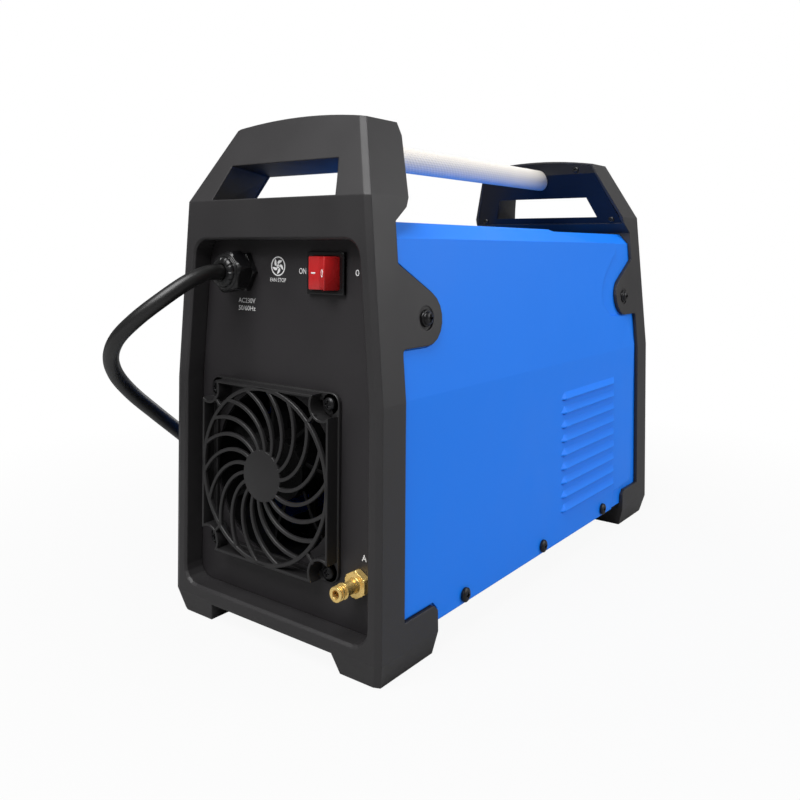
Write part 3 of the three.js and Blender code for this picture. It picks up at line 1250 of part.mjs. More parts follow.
function outputChoke() {
  const z0 = BOARD_Z + BOARD_THICKNESS + GAP;
  const [r, b, h] = [CHOKE_DIAMETER / 2, CHOKE_BORE / 2, CHOKE_HEIGHT];
  const below = [[b, 2], [b + 2, 0], [r - 2, 0], [r, 2]];
  const profile = [...below, [r, h - 2], [r - 2, h], [b + 2, h], [b, h - 2], [b, 2]];
  return turned('z', profile, [0, BOARD_MIDDLE_Y - 45, z0], 18);
}

// The board behind the front panel carries the knob's potentiometer and stands off the panel on pillars.
function controlBoard() {
  const [w, h] = CONTROL_BOARD;
  const y = -PANEL_BACK_Y + CONTROL_GAP;
  const [low, high] = [CONTROL_LOW_Z, CONTROL_LOW_Z + h];
  let board = box(-w / 2, w / 2, y, y + BOARD_THICKNESS, low, high);
  for (const x of [-w / 2 + 6, w / 2 - 6]) {
    for (const z of [low + 6, high - 6]) {
      board = board.add(rod('y', PILLAR_DIAMETER, -PANEL_BACK_Y + GAP, y + 0.5, [x, 0, z], 12));
    }
  }
  board = board.add(rod('y', POTENTIOMETER_DIAMETER, y - POTENTIOMETER_DEPTH, y + 0.5, [0, 0, KNOB_Z], 20));
  return cut(board, rod('y', KNOB_SHAFT + 2 * GAP, y - POTENTIOMETER_DEPTH - 1, y - 1, [0, 0, KNOB_Z], 16));
}

const VALVE_INNER_X = FAN_X - FAN_SIZE / 2 - VALVE_FAN_CLEARANCE;
const VALVE_OUTER_X = -COVER_INNER_X + VALVE_WALL_CLEARANCE;
const VALVE_X = (VALVE_INNER_X + VALVE_OUTER_X) / 2;
const VALVE_Y = PANEL_Y + GAP - PANEL_THICKNESS - NIPPLE_THREAD_REACH - GAP;
const VALVE_BACK_Y = VALVE_Y - VALVE_LENGTH;

function solenoidValve() {
  const v = VALVE_HEIGHT / 2;
  const body = box(VALVE_OUTER_X, VALVE_INNER_X, VALVE_BACK_Y, VALVE_Y, NIPPLE_Z - v, NIPPLE_Z + v);
  const middle = [VALVE_X, VALVE_Y - VALVE_LENGTH / 2, NIPPLE_Z];
  const coil = VALVE_INNER_X - VALVE_OUTER_X - 2 * VALVE_COIL_STEP;
  return body.add(rod('z', coil, VALVE_COIL_FROM, VALVE_COIL_TO, middle, 20));
}

// From the valve along the inside of the cover to the back of the torch socket.
function airHose() {
  const start = VALVE_BACK_Y - GAP;
  const end = FRONT_FACE + SOCKET_BACK + GAP;
  const wallX = -(COVER_INNER_X - HOSE_CLEARANCE - HOSE_DIAMETER / 2);
  const between3 = (share, x) => new THREE.Vector3(
    x,
    THREE.MathUtils.lerp(start, end, share),
    THREE.MathUtils.lerp(NIPPLE_Z, SOCKET_Z, share),
  );
  const route = new THREE.CatmullRomCurve3([
    new THREE.Vector3(VALVE_X, start, NIPPLE_Z),
    new THREE.Vector3(VALVE_X, start - HOSE_DIAMETER, NIPPLE_Z),
    between3(0.13, wallX),
    between3(0.26, wallX),
    between3(0.5, wallX),
    between3(0.75, wallX + HOSE_CLEARANCE),
    between3(0.9, (wallX + TORCH_X) / 2),
    new THREE.Vector3(TORCH_X, end + HOSE_DIAMETER, SOCKET_Z),
    new THREE.Vector3(TORCH_X, end, SOCKET_Z),
  ], false, 'centripetal');
  return sweep(route, HOSE_DIAMETER, 8, 30);
}

// ---------------------------------------------------------------- assembly
addAtBothEnds('frame', endFrame(), 'plastic');
addAtBothEnds('handle_plate', handlePlate(), 'plastic');
const tubeEnd = REAR - innerAt(TUBE_Z) + TUBE_SOCKET_DEPTH - GAP;
add('handle_tube', rod('y', TUBE_DIAMETER, -tubeEnd, tubeEnd, [0, 0, TUBE_Z], 32), 'whiteTube');
add('cover', coverSheet(), 'blueSheet');
add('base_tray', baseTray(), 'plainSheet');
add('rear_panel', rearPanel(), 'blackSheet');
add('front_panel', frontPanel(), 'blackSheet');

add('fan_frame', fanFrame(), 'darkPlastic');
add('fan_rotor', fanRotor(), 'darkPlastic');
add('fan_guard', fanGuard(), 'plastic');
cornerScrewSpots().forEach(([x, z], i) => add(`guard_screw_${i + 1}`, guardScrew(x, z), 'blackScrew'));

add('switch_body', switchBody(), 'darkPlastic');
add('switch_rocker', rocker(), 'red');
add('gland_body', glandBody(), 'darkPlastic');
add('gland_nut', glandNut(), 'darkPlastic');
add('gland_locknut', glandLocknut(), 'darkPlastic');
addMainsLead();
add('air_nipple', airNipple(), 'brass');

[['left', 1], ['right', -1]].forEach(([name, side]) => {
  SIDE_SCREW_YS.forEach((y, i) => add(`side_screw_${name}_${i + 1}`, sideScrew(y, side), 'blackScrew'));
  add(`lug_screw_rear_${name}`, lugScrew(REAR - LUG_REACH, side), 'blackScrew');
  add(`lug_screw_front_${name}`, lugScrew(-REAR + LUG_REACH, side), 'blackScrew');
});

add('display_window', displayWindow(), 'window');
add('power_lamp', statusLamp(-LAMP_SPACING / 2), 'lamp');
add('fault_lamp', statusLamp(LAMP_SPACING / 2), 'lamp');
add('current_knob', currentKnob(), 'darkPlastic');
add('button_left', pushButton(-BUTTON_X), 'darkPlastic');
add('button_right', pushButton(BUTTON_X), 'darkPlastic');
add('torch_socket', panelSocket(TORCH_X, TORCH_FLANGE, TORCH_BARREL, TORCH_BORE), 'brass');
add('earth_socket', panelSocket(EARTH_X, EARTH_FLANGE, EARTH_BARREL, EARTH_BORE), 'darkPlastic');

add('main_board', mainBoard(), 'board');
add('control_board', controlBoard(), 'board');
add('heatsink_left', heatsink(1), 'aluminium');
add('heatsink_right', heatsink(-1), 'aluminium');
add('power_module_left', powerModule(1), 'darkPlastic');
add('power_module_right', powerModule(-1), 'darkPlastic');
add('capacitor_left', capacitor(CAPACITOR_DIAMETER / 2 + 4), 'capacitor');
add('capacitor_right', capacitor(-CAPACITOR_DIAMETER / 2 - 4), 'capacitor');
add('transformer_core', transformerCore(), 'ferrite');
add('transformer_winding', transformerWinding(), 'copper');
add('output_choke', outputChoke(), 'copper');
add('solenoid_valve', solenoidValve(), 'aluminium');
add('air_hose', airHose(), 'hose');

console.log('least gap between the turns of the coil, mm:', leastCoilGap().toFixed(2));

export default unitGroup;
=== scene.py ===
"""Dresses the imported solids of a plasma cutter's power unit: camera, floor, light, finishes and fine pieces.

Lengths are in millimetres unless a name says otherwise, in the same frame as the solids: +Z up, +Y toward
the rear panel, origin on the floor under the middle of the unit. make_piece() turns them into metres.
"""
import json
import math

import bmesh
import bpy
import numpy as np
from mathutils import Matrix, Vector


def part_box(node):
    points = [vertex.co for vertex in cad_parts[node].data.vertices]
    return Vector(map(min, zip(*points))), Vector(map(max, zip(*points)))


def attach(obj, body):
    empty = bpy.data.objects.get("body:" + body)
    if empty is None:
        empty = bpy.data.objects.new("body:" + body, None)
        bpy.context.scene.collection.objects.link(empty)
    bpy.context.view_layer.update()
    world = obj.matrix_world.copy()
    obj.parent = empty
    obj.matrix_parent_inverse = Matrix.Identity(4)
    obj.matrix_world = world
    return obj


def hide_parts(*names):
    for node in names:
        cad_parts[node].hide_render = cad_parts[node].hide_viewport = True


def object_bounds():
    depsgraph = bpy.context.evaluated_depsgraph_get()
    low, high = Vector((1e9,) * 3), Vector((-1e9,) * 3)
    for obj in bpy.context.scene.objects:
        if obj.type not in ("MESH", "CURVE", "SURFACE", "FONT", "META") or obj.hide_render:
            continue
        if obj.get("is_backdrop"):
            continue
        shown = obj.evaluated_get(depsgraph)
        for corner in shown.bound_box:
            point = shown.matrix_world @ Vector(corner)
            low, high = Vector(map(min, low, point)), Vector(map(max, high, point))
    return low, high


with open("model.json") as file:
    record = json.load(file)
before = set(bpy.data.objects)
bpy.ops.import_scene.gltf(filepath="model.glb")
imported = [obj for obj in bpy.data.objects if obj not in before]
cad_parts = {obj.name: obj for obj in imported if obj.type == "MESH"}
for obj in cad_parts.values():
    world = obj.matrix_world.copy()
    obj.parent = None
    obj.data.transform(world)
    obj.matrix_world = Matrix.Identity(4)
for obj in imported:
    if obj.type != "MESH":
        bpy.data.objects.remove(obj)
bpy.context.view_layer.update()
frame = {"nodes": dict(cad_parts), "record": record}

MM = 0.001
NODES = frame["nodes"]
CASE = "case"


def new_object(name, data):
    """An object of the scene that holds the data."""
    made = bpy.data.objects.new(name, data)
    bpy.context.collection.objects.link(made)
    return made


# ------------------------ camera
EYE_PLACE = (-381.74, 580.62, 257.44)
EYE_TURN = (89.8792, -0.3986, -143.0757)  # degrees about X, Y and Z
SENSOR_WIDTH, FOCAL_LENGTH = 36.0, 36.65
SHIFT_UP = -0.1875  # of the frame's width
NEAR_M, FAR_M = 0.01, 50.0

eye_data = bpy.data.cameras.new("eye")
eye = new_object("eye", eye_data)
eye.location = Vector(EYE_PLACE) * MM
eye.rotation_euler = [math.radians(a) for a in EYE_TURN]
eye_data.sensor_width = SENSOR_WIDTH
eye_data.lens = FOCAL_LENGTH
eye_data.shift_y = SHIFT_UP
eye_data.clip_start = NEAR_M
eye_data.clip_end = FAR_M
bpy.context.scene.camera = eye
bpy.context.scene.view_settings.view_transform = "Standard"


# ------------------------ node trees
MIX_A, MIX_B, MIX_RESULT = 6, 7, 2  # the colour sockets of a Mix node


class Tree:
    """A node tree with short calls: put() adds a node, sets its inputs and links what it is given."""

    def __init__(self, tree):
        self.tree = tree

    def put(self, kind, inputs=None, **settings):
        node = self.tree.nodes.new(kind)
        for key, value in settings.items():
            setattr(node, key, value)
        for key, value in (inputs or {}).items():
            self.feed(node.inputs[key], value)
        return node

    def feed(self, socket, value):
        if isinstance(value, bpy.types.NodeSocket):
            self.tree.links.new(value, socket)
        else:
            socket.default_value = value

    def math(self, operation, a, b=0.0, clamp=False):
        node = self.put("ShaderNodeMath", operation=operation, use_clamp=clamp)
        self.feed(node.inputs[0], a)
        self.feed(node.inputs[1], b)
        return node.outputs[0]

    def ramp(self, value, low, high, to_low=0.0, to_high=1.0):
        inputs = {"Value": value, "From Min": low, "From Max": high, "To Min": to_low, "To Max": to_high}
        return self.put("ShaderNodeMapRange", inputs).outputs["Result"]

    def blend(self, share, a, b):
        node = self.put("ShaderNodeMix", data_type="RGBA")
        self.feed(node.inputs[0], share)
        self.feed(node.inputs[MIX_A], a)
        self.feed(node.inputs[MIX_B], b)
        return node.outputs[MIX_RESULT]


def seen_directly(tree):
    """1 for rays from the camera, straight or through something clear, and 0 for the others."""
    rays = tree.put("ShaderNodeLightPath").outputs
    return tree.math("MAXIMUM", rays["Is Camera Ray"], rays["Is Transmission Ray"])


def effect(name, inputs, outputs, build):
    """A shader node group with named sockets; build(tree, inputs) returns what feeds each output."""
    group = bpy.data.node_groups.new(name, "ShaderNodeTree")
    for label, kind, value in inputs:
        socket = group.interface.new_socket(label, in_out="INPUT", socket_type="NodeSocket" + kind)
        if value is not None:
            socket.default_value = value
    for label, kind in outputs:
        group.interface.new_socket(label, in_out="OUTPUT", socket_type="NodeSocket" + kind)
    tree = Tree(group)
    source = group.nodes.new("NodeGroupInput").outputs
    sink = group.nodes.new("NodeGroupOutput").inputs
    for label, socket in build(tree, source).items():
        group.links.new(socket, sink[label])
    return group


COARSE_SHARE = 0.22  # scale of the coarse noise, as a share of the fine one's


def build_grain(tree, given):
    """Fine pits and bumps of a moulding or a paint film, from two sizes of noise."""
    where = tree.put("ShaderNodeTexCoord").outputs["Object"]
    fine = tree.put("ShaderNodeTexNoise", {"Vector": where, "Scale": given["Scale"], "Detail": 3.0})
    coarse_scale = tree.math("MULTIPLY", given["Scale"], COARSE_SHARE)
    coarse = tree.put("ShaderNodeTexNoise", {"Vector": where, "Scale": coarse_scale, "Detail": 1.0})
    waves = tree.math("MULTIPLY", coarse.outputs["Fac"], given["Waviness"])
    height = tree.math("ADD", fine.outputs["Fac"], waves)
    inputs = {"Strength": given["Strength"], "Distance": given["Depth"], "Height": height,
              "Normal": given["Normal"]}
    return {"Normal": tree.put("ShaderNodeBump", inputs).outputs["Normal"]}


GRAIN = effect(
    "surface grain",
    [("Scale", "Float", 900.0), ("Strength", "Float", 0.3), ("Depth", "Float", 0.0002),
     ("Waviness", "Float", 0.3), ("Normal", "Vector", None)],
    [("Normal", "Vector")],
    build_grain,
)


PATCH_RANGE = (0.35, 0.7)  # noise values where a cloudy patch starts and is full
EDGE_RANGE = (0.999, 0.93)  # cosines between softened and true normal: flat face, full edge
SCUFF_SCALE = 160.0


def build_ageing(tree, given):
    """Handling marks: cloudy patches of colour and gloss, and pale edges where pieces get rubbed."""
    where = tree.put("ShaderNodeTexCoord").outputs["Object"]
    cloud = tree.put("ShaderNodeTexNoise", {"Vector": where, "Scale": given["Patch Scale"], "Detail": 4.0})
    patch = tree.ramp(cloud.outputs["Fac"], *PATCH_RANGE)
    true_normal = tree.put("ShaderNodeNewGeometry").outputs["Normal"]
    normals = {0: given["Soft Normal"], 1: true_normal}
    facing = tree.put("ShaderNodeVectorMath", normals, operation="DOT_PRODUCT")
    edge = tree.ramp(facing.outputs["Value"], *EDGE_RANGE)
    scuff = tree.put("ShaderNodeTexNoise", {"Vector": where, "Scale": SCUFF_SCALE, "Detail": 5.0})
    broken = tree.math("MULTIPLY", edge, scuff.outputs["Fac"])
    worn = tree.math("MULTIPLY", broken, given["Wear"], clamp=True)
    patchy = tree.math("MULTIPLY", patch, given["Patchiness"])
    toned = tree.blend(patchy, given["Color"], given["Patch Color"])
    change = tree.math("MULTIPLY", patch, given["Gloss Change"])
    rough = tree.math("ADD", given["Roughness"], change)
    return {"Color": tree.blend(worn, toned, given["Worn Color"]), "Roughness": rough}


AGEING = effect(
    "handling marks",
    [("Color", "Color", (0.5, 0.5, 0.5, 1)), ("Patch Color", "Color", (0.5, 0.5, 0.5, 1)),
     ("Worn Color", "Color", (0.7, 0.7, 0.7, 1)), ("Patchiness", "Float", 0.2),
     ("Patch Scale", "Float", 25.0), ("Wear", "Float", 0.2), ("Soft Normal", "Vector", None),
     ("Roughness", "Float", 0.5), ("Gloss Change", "Float", 0.08)],
    [("Color", "Color"), ("Roughness", "Float")],
    build_ageing,
)


TUBE_AXIS_M = 0.3265
KNURL_DEPTH_M = 0.0004


def build_knurl(tree, given):
    """Two crossed sets of fine grooves that wind round a tube along Y at the given height."""
    where = tree.put("ShaderNodeSeparateXYZ", {0: tree.put("ShaderNodeTexCoord").outputs["Object"]})
    up = tree.math("SUBTRACT", where.outputs["Z"], given["Axis Height"])
    angle = tree.math("ARCTAN2", where.outputs["X"], up)
    turn = tree.math("MULTIPLY", angle, given["Grooves"])
    slide = tree.math("MULTIPLY", where.outputs["Y"], given["Slope"])
    right = tree.math("SINE", tree.math("ADD", turn, slide))
    left = tree.math("SINE", tree.math("SUBTRACT", turn, slide))
    height = tree.math("MAXIMUM", right, left)
    inputs = {"Strength": given["Strength"], "Distance": KNURL_DEPTH_M, "Height": height,
              "Normal": given["Normal"]}
    return {"Normal": tree.put("ShaderNodeBump", inputs).outputs["Normal"]}


KNURL = effect(
    "knurl",
    [("Axis Height", "Float", TUBE_AXIS_M), ("Grooves", "Float", 16.0), ("Slope", "Float", 1500.0),
     ("Strength", "Float", 0.22), ("Normal", "Vector", None)],
    [("Normal", "Vector")],
    build_knurl,
)


PALEST = 0.95  # no patch or rubbed edge gets lighter than this
PATCH_FLOOR, WORN_FLOOR = 0.004, 0.012  # near-black colours are lightened from here


def finish_of(name, colour, roughness, metallic=0.0, patch=1.25, worn=3.0, wear=0.2,
              grain=(900.0, 0.25, 0.0002, 0.3), patchiness=0.3, patch_scale=25.0, gloss_change=0.08,
              edge=0.8, knurled=False, **shader):
    """A finish: aged colour and gloss into one Principled shader, with soft edges and surface grain.

    patch and worn are how many times lighter the cloudy patches and the rubbed edges are; grain holds the
    scale, strength, depth in metres and waviness; edge is the width of the softened edges in millimetres;
    what is left over sets inputs of the shader by name.
    """
    material = bpy.data.materials.new(name)
    material.use_nodes = True
    material.diffuse_color = (*colour, 1)
    tree = Tree(material.node_tree)
    principled = material.node_tree.nodes["Principled BSDF"]
    soft = tree.put("ShaderNodeBevel", {"Radius": edge * MM}, samples=6).outputs["Normal"]
    aged = tree.put("ShaderNodeGroup", node_tree=AGEING)
    lighter = [min(PALEST, max(c, PATCH_FLOOR) * patch) for c in colour]
    rubbed = [min(PALEST, max(c, WORN_FLOOR) * worn) for c in colour]
    given = {"Color": (*colour, 1), "Patch Color": (*lighter, 1), "Worn Color": (*rubbed, 1), "Wear": wear,
             "Patchiness": patchiness, "Patch Scale": patch_scale, "Roughness": roughness,
             "Gloss Change": gloss_change, "Soft Normal": soft}
    for label, value in given.items():
        tree.feed(aged.inputs[label], value)
    grained = tree.put("ShaderNodeGroup", node_tree=GRAIN)
    for label, value in zip(("Scale", "Strength", "Depth", "Waviness"), grain):
        grained.inputs[label].default_value = value
    normal = soft
    if knurled:
        knurl = tree.put("ShaderNodeGroup", node_tree=KNURL)
        tree.feed(knurl.inputs["Normal"], soft)
        normal = knurl.outputs["Normal"]
    tree.feed(grained.inputs["Normal"], normal)
    tree.feed(principled.inputs["Base Color"], aged.outputs["Color"])
    tree.feed(principled.inputs["Roughness"], aged.outputs["Roughness"])
    tree.feed(principled.inputs["Normal"], grained.outputs["Normal"])
    principled.inputs["Metallic"].default_value = metallic
    for label, value in shader.items():
        principled.inputs[label.replace("_", " ")].default_value = value
    return material


PLASTIC = finish_of("black moulding", (0.020, 0.019, 0.020), 0.46, grain=(1400.0, 0.3, 0.00012, 0.2),
                    wear=0.3, edge=1.3, Specular_IOR_Level=0.42)
# The guard is the frame's black moulding made darker: painted shade for the deep recess it sits in.
GUARD_PLASTIC_SHADED = finish_of("guard moulding, painted recess shade", (0.013, 0.0125, 0.013), 0.4, grain=(1400.0, 0.25, 0.0001, 0.2),
                          edge=0.4, Specular_IOR_Level=0.4)
# Near-black handle plates with a blue cast: the blue is a painted reflection of the blue cover.
PLATE_PLASTIC_BLUE_REFLECTION = finish_of("handle plate, painted blue reflection", (0.003, 0.004, 0.008), 0.3, grain=(900.0, 0.15, 0.0001, 0.3),
                          edge=0.5, Specular_IOR_Level=0.3)
SHINY_PLASTIC = finish_of("dark glossy plastic", (0.004, 0.004, 0.0045), 0.27, edge=0.5, wear=0.25,
                          grain=(700.0, 0.1, 0.0001, 0.4), Specular_IOR_Level=0.45)
FAN_PLASTIC = finish_of("fan moulding", (0.002, 0.002, 0.0022), 0.5, edge=0.4, Specular_IOR_Level=0.15)
BLUE_PAINT = finish_of("blue paint", (0.002, 0.205, 0.93), 0.45, patch=1.04, worn=1.6, wear=0.12,
                       grain=(380.0, 0.1, 0.00008, 0.6), edge=0.9, Specular_IOR_Level=0.3)
BLACK_PAINT = finish_of("black panel paint", (0.016, 0.0145, 0.016), 0.5, grain=(2200.0, 0.25, 0.0001, 0.2),
                        edge=0.4, Specular_IOR_Level=0.4)
ZINC = finish_of("zinc plated sheet", (0.5, 0.52, 0.53), 0.38, 1.0, worn=1.3, patch_scale=60.0,
                 grain=(300.0, 0.15, 0.0001, 0.5))
TUBE_METAL = finish_of("pale knurled metal", (0.77, 0.73, 0.68), 0.45, patch=0.93, worn=0.8,
                       grain=(900.0, 0.15, 0.0001, 0.3), knurled=True)
BLACK_STEEL = finish_of("blackened steel", (0.012, 0.012, 0.013), 0.3, 0.5, worn=9.0, wear=0.4, edge=0.3,
                        grain=(500.0, 0.15, 0.0001, 0.4))
BRASS = finish_of("turned brass", (0.97, 0.68, 0.24), 0.22, 0.78, patch=0.8, worn=1.2, wear=0.5, edge=0.3,
                  grain=(800.0, 0.12, 0.00006, 0.3), patch_scale=120.0)
BRIGHT_STEEL = finish_of("plated pins", (0.62, 0.63, 0.64), 0.22, 1.0, worn=1.3, edge=0.2)
RED_PLASTIC = finish_of("red switch plastic", (0.43, 0.013, 0.014), 0.25, worn=1.5, edge=0.4, Coat_Weight=0.2,
                        grain=(600.0, 0.06, 0.00006, 0.4))
RUBBER = finish_of("cable jacket", (0.006, 0.006, 0.006), 0.36, grain=(900.0, 0.2, 0.0001, 0.4), wear=0.1)
SMOKED = finish_of("smoked window", (0.004, 0.004, 0.006), 0.08, grain=(100.0, 0.03, 0.00005, 0.4))
LENS = finish_of("lamp lens", (0.35, 0.55, 0.22), 0.15, worn=1.3, Coat_Weight=0.5)
BOARD = finish_of("green laminate", (0.02, 0.14, 0.05), 0.4)
SINK = finish_of("extruded metal", (0.62, 0.63, 0.65), 0.4, 1.0, worn=1.3)
CAN = finish_of("sleeved can", (0.02, 0.05, 0.16), 0.3)
FERRITE = finish_of("sintered core", (0.05, 0.05, 0.052), 0.7)
COPPER = finish_of("varnished copper", (0.5, 0.2, 0.06), 0.3, 0.9, worn=1.4)
HOSE = finish_of("air hose", (0.02, 0.06, 0.25), 0.35)
INK = finish_of("white print", (0.82, 0.82, 0.82), 0.6, patch=0.85, worn=1.0, patchiness=0.6,
                patch_scale=900.0)
GLOW = finish_of("lit figures", (0.6, 0.03, 0.02), 0.4, worn=1.0, Emission_Color=(0.9, 0.05, 0.03, 1),
                 Emission_Strength=0.6)
STRAP = finish_of("woven strap", (0.012, 0.012, 0.013), 0.8, grain=(2500.0, 0.6, 0.0003, 0.2))

FINISHES = {
    "end_plastic": PLASTIC, "blue_sheet": BLUE_PAINT, "plain_sheet": ZINC, "black_sheet": BLACK_PAINT,
    "white_tube": TUBE_METAL, "dark_plastic": SHINY_PLASTIC, "rocker_red": RED_PLASTIC, "cord_rubber": RUBBER,
    "brass": BRASS, "pin_steel": BRIGHT_STEEL, "display": SMOKED, "lens": LENS, "circuit_board": BOARD,
    "sink_aluminium": SINK, "can_blue": CAN, "ferrite": FERRITE, "winding": COPPER, "hose": HOSE,
    "screw_black": BLACK_STEEL,
}
# Nodes whose finish differs from that of their slot.
OWN_FINISH = {"rear_handle_plate": PLATE_PLASTIC_BLUE_REFLECTION, "front_handle_plate": PLATE_PLASTIC_BLUE_REFLECTION,
              "fan_frame": FAN_PLASTIC, "fan_rotor": FAN_PLASTIC}
SLOT_OF = {part["node"]: part["material_slot"] for part in frame["record"]["subparts"]}
for node_name, slot_name in SLOT_OF.items():
    for place_of in NODES[node_name].material_slots:
        place_of.material = OWN_FINISH.get(node_name, FINISHES[slot_name])


# ------------------------ making meshes
def centre_of(node):
    """Lowest corner, highest corner and middle of a node, in millimetres."""
    low, high = [np.array(corner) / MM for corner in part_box(node)]
    return low, high, (low + high) / 2


MERGE_M, SLIVER_M = 2e-6, 1e-6  # points nearer than this are one; edges shorter than this go


def make_piece(name, parts, material, body=CASE, instead_of=(), slot=None, smooth_below=40.0):
    """One piece from parts (points, faces): doubles are merged, normals turned outward, edges kept crisp."""
    points, faces, start = [], [], 0
    for part_points, part_faces in parts:
        part_points = np.asarray(part_points, float).reshape(-1, 3)
        points.append(part_points)
        faces += [[int(k) + start for k in face] for face in part_faces]
        start += len(part_points)
    mesh = bpy.data.meshes.new(name)
    mesh.from_pydata((np.vstack(points) * MM).tolist(), [], faces)
    work = bmesh.new()
    work.from_mesh(mesh)
    bmesh.ops.remove_doubles(work, verts=work.verts, dist=MERGE_M)
    bmesh.ops.dissolve_degenerate(work, edges=work.edges, dist=SLIVER_M)
    bmesh.ops.recalc_face_normals(work, faces=work.faces)
    sharp = math.radians(smooth_below)
    for edge in work.edges:
        edge.smooth = len(edge.link_faces) == 2 and edge.calc_face_angle() < sharp
    work.to_mesh(mesh)
    work.free()
    mesh.shade_smooth()
    mesh.materials.append(material)
    piece = new_object(name, mesh)
    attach(piece, body)
    if instead_of:
        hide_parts(*instead_of)
        slot = slot or SLOT_OF[instead_of[0]]
    return piece


def axis_order(axis, across, up, along):
    """Points from two coordinates across the axis and one along it."""
    order = {"x": (along, across, up), "y": (across, along, up), "z": (across, up, along)}[axis]
    return np.stack(order, -1)


def sheet(grid, close_rows=False, close_columns=True, caps=True):
    """A part over a grid of points; either way round may close on itself, and open ends get a flat cap."""
    rows, columns = grid.shape[:2]
    row = np.arange(rows if close_rows else rows - 1)
    column = np.arange(columns if close_columns else columns - 1)
    r, c = [part.ravel() for part in np.meshgrid(row, column, indexing="ij")]
    r2, c2 = (r + 1) % rows, (c + 1) % columns
    quads = np.stack([r * columns + c, r * columns + c2, r2 * columns + c2, r2 * columns + c], 1)
    faces = quads.tolist()
    if caps and close_columns and not close_rows:
        faces.append(list(range(columns))[::-1])
        faces.append([(rows - 1) * columns + k for k in range(columns)])
    return grid.reshape(-1, 3), faces


def turned(radius_of, heights, place, axis="y", sides=64, facing=1):
    """A turned surface: at each height the radius is a function of the angle, so flats and flutes can be cut.

    radius_of(row, angle) gives the radius in millimetres for the row's number and an array of angles;
    facing -1 turns the heights toward the negative axis.
    """
    angle = np.linspace(0, 2 * np.pi, sides, endpoint=False)
    radius = np.stack([np.broadcast_to(radius_of(i, angle), sides) for i in range(len(heights))])
    u, v = radius * np.cos(angle), radius * np.sin(angle)
    w = np.repeat(np.asarray(heights, float)[:, None], sides, 1) * facing
    return sheet(axis_order(axis, u, v, w) + np.asarray(place, float))


def plain_turned(profile, place, axis="y", sides=64, facing=1):
    """A turned surface of a profile of (radius, height) pairs."""
    return turned(lambda i, angle: profile[i][0], [h for _, h in profile], place, axis, sides, facing)


def hexagon_radius(flats, angle):
    """Distance from the middle of a hexagon to its edge, with corners at 0, 60, 120 degrees and so on."""
    return flats / 2 / np.cos(np.mod(angle, np.pi / 3) - np.pi / 6)


def hex_turned(flats, rows, place, turn=0.0):
    """A hexagon cut by a turned profile: the radius is the smaller of the two, which gives chamfered corners.

    turn is how far the hexagon is turned on its axis, in degrees.
    """
    return turned(lambda i, angle: np.minimum(hexagon_radius(flats, angle - math.radians(turn)), rows[i][0]),
                  [h for _, h in rows], place, "y", 120)


DRIVE_SHARE = 0.55  # of the head's radius: the recess lies within, with fine rings
DOME_FALL = 0.45  # of the head's height, from the middle to the rim
SLOT_SHARE = 0.3  # half width of the cross's slot, as a share of its reach


def screw_head(radius, height, place, axis="y", facing=1, size=1.0, depth=1.2, sides=72):
    """A domed head: height falls with the fourth power of the radius, less a cross recess.

    The recess is where one coordinate is under half the slot's width and the other under its reach, size.
    """
    rings = np.concatenate([np.linspace(0.0, DRIVE_SHARE, 16), np.linspace(0.6, 1.0, 9)])
    angle = np.linspace(0, 2 * np.pi, sides, endpoint=False)
    r, a = np.meshgrid(rings * radius, angle, indexing="ij")
    u, v = r * np.cos(a), r * np.sin(a)
    w = height * (1 - DOME_FALL * (r / radius) ** 4)
    slot = size * SLOT_SHARE
    inside = ((abs(u) < slot) & (abs(v) < size)) | ((abs(v) < slot) & (abs(u) < size))
    w = np.where(inside, w - depth, w)
    u, v, w = [np.vstack([part, part[-1:]]) for part in (u, v, w)]
    w[-1] = 0.0
    return sheet(axis_order(axis, u, v, w * facing) + np.asarray(place, float))


def bar_along(path, outline, closed=False):
    """A bar in the XZ plane: the outline's (side, y) points follow the path, with mitred corners."""
    path = np.asarray(path, float)
    outline = np.asarray(outline, float)
    step = np.roll(path, -1, 0) - path
    if not closed:
        step[-1] = step[-2]
    step /= np.linalg.norm(step, axis=1)[:, None]
    across = np.stack([step[:, 1], -step[:, 0]], 1)
    before = np.roll(across, 1, 0)
    if not closed:
        before[0] = across[0]
    mitre = (across + before) / (1 + (across * before).sum(1))[:, None]
    spot = path[:, None] + mitre[:, None] * outline[None, :, :1]
    y = np.broadcast_to(outline[None, :, 1], spot.shape[:2])
    return sheet(np.stack([spot[..., 0], y, spot[..., 1]], -1), close_rows=closed)


def soft_section(half, low, high, round_=0.5, steps=4):
    """A bar's section: flat at its back (low) and rounded at the two edges of its front (high)."""
    swing = np.linspace(0, np.pi / 2, steps + 1)
    right = np.stack([half - round_ + round_ * np.cos(swing), high - round_ + round_ * np.sin(swing)], 1)
    left = np.stack([-right[::-1, 0], right[::-1, 1]], 1)
    return np.vstack([[(half, low)], right, left, [(-half, low)]])


def circle(radius, sides=72, middle=(0.0, 0.0)):
    """Points round a circle, anticlockwise."""
    a = np.linspace(0, 2 * np.pi, sides, endpoint=False)
    return np.stack([middle[0] + radius * np.cos(a), middle[1] + radius * np.sin(a)], 1)


def rounded_rectangle(width, height, radius, middle, steps=5):
    """The outline of a rectangle whose corners are quarter circles."""
    spots = []
    for k, (sx, sz) in enumerate(((1, 1), (-1, 1), (-1, -1), (1, -1))):
        a = np.linspace(0, np.pi / 2, steps + 1) + k * np.pi / 2
        corner = (sx * (width / 2 - radius), sz * (height / 2 - radius))
        spots.append(np.stack([corner[0] + radius * np.cos(a), corner[1] + radius * np.sin(a)], 1))
    return np.vstack(spots) + np.asarray(middle, float)


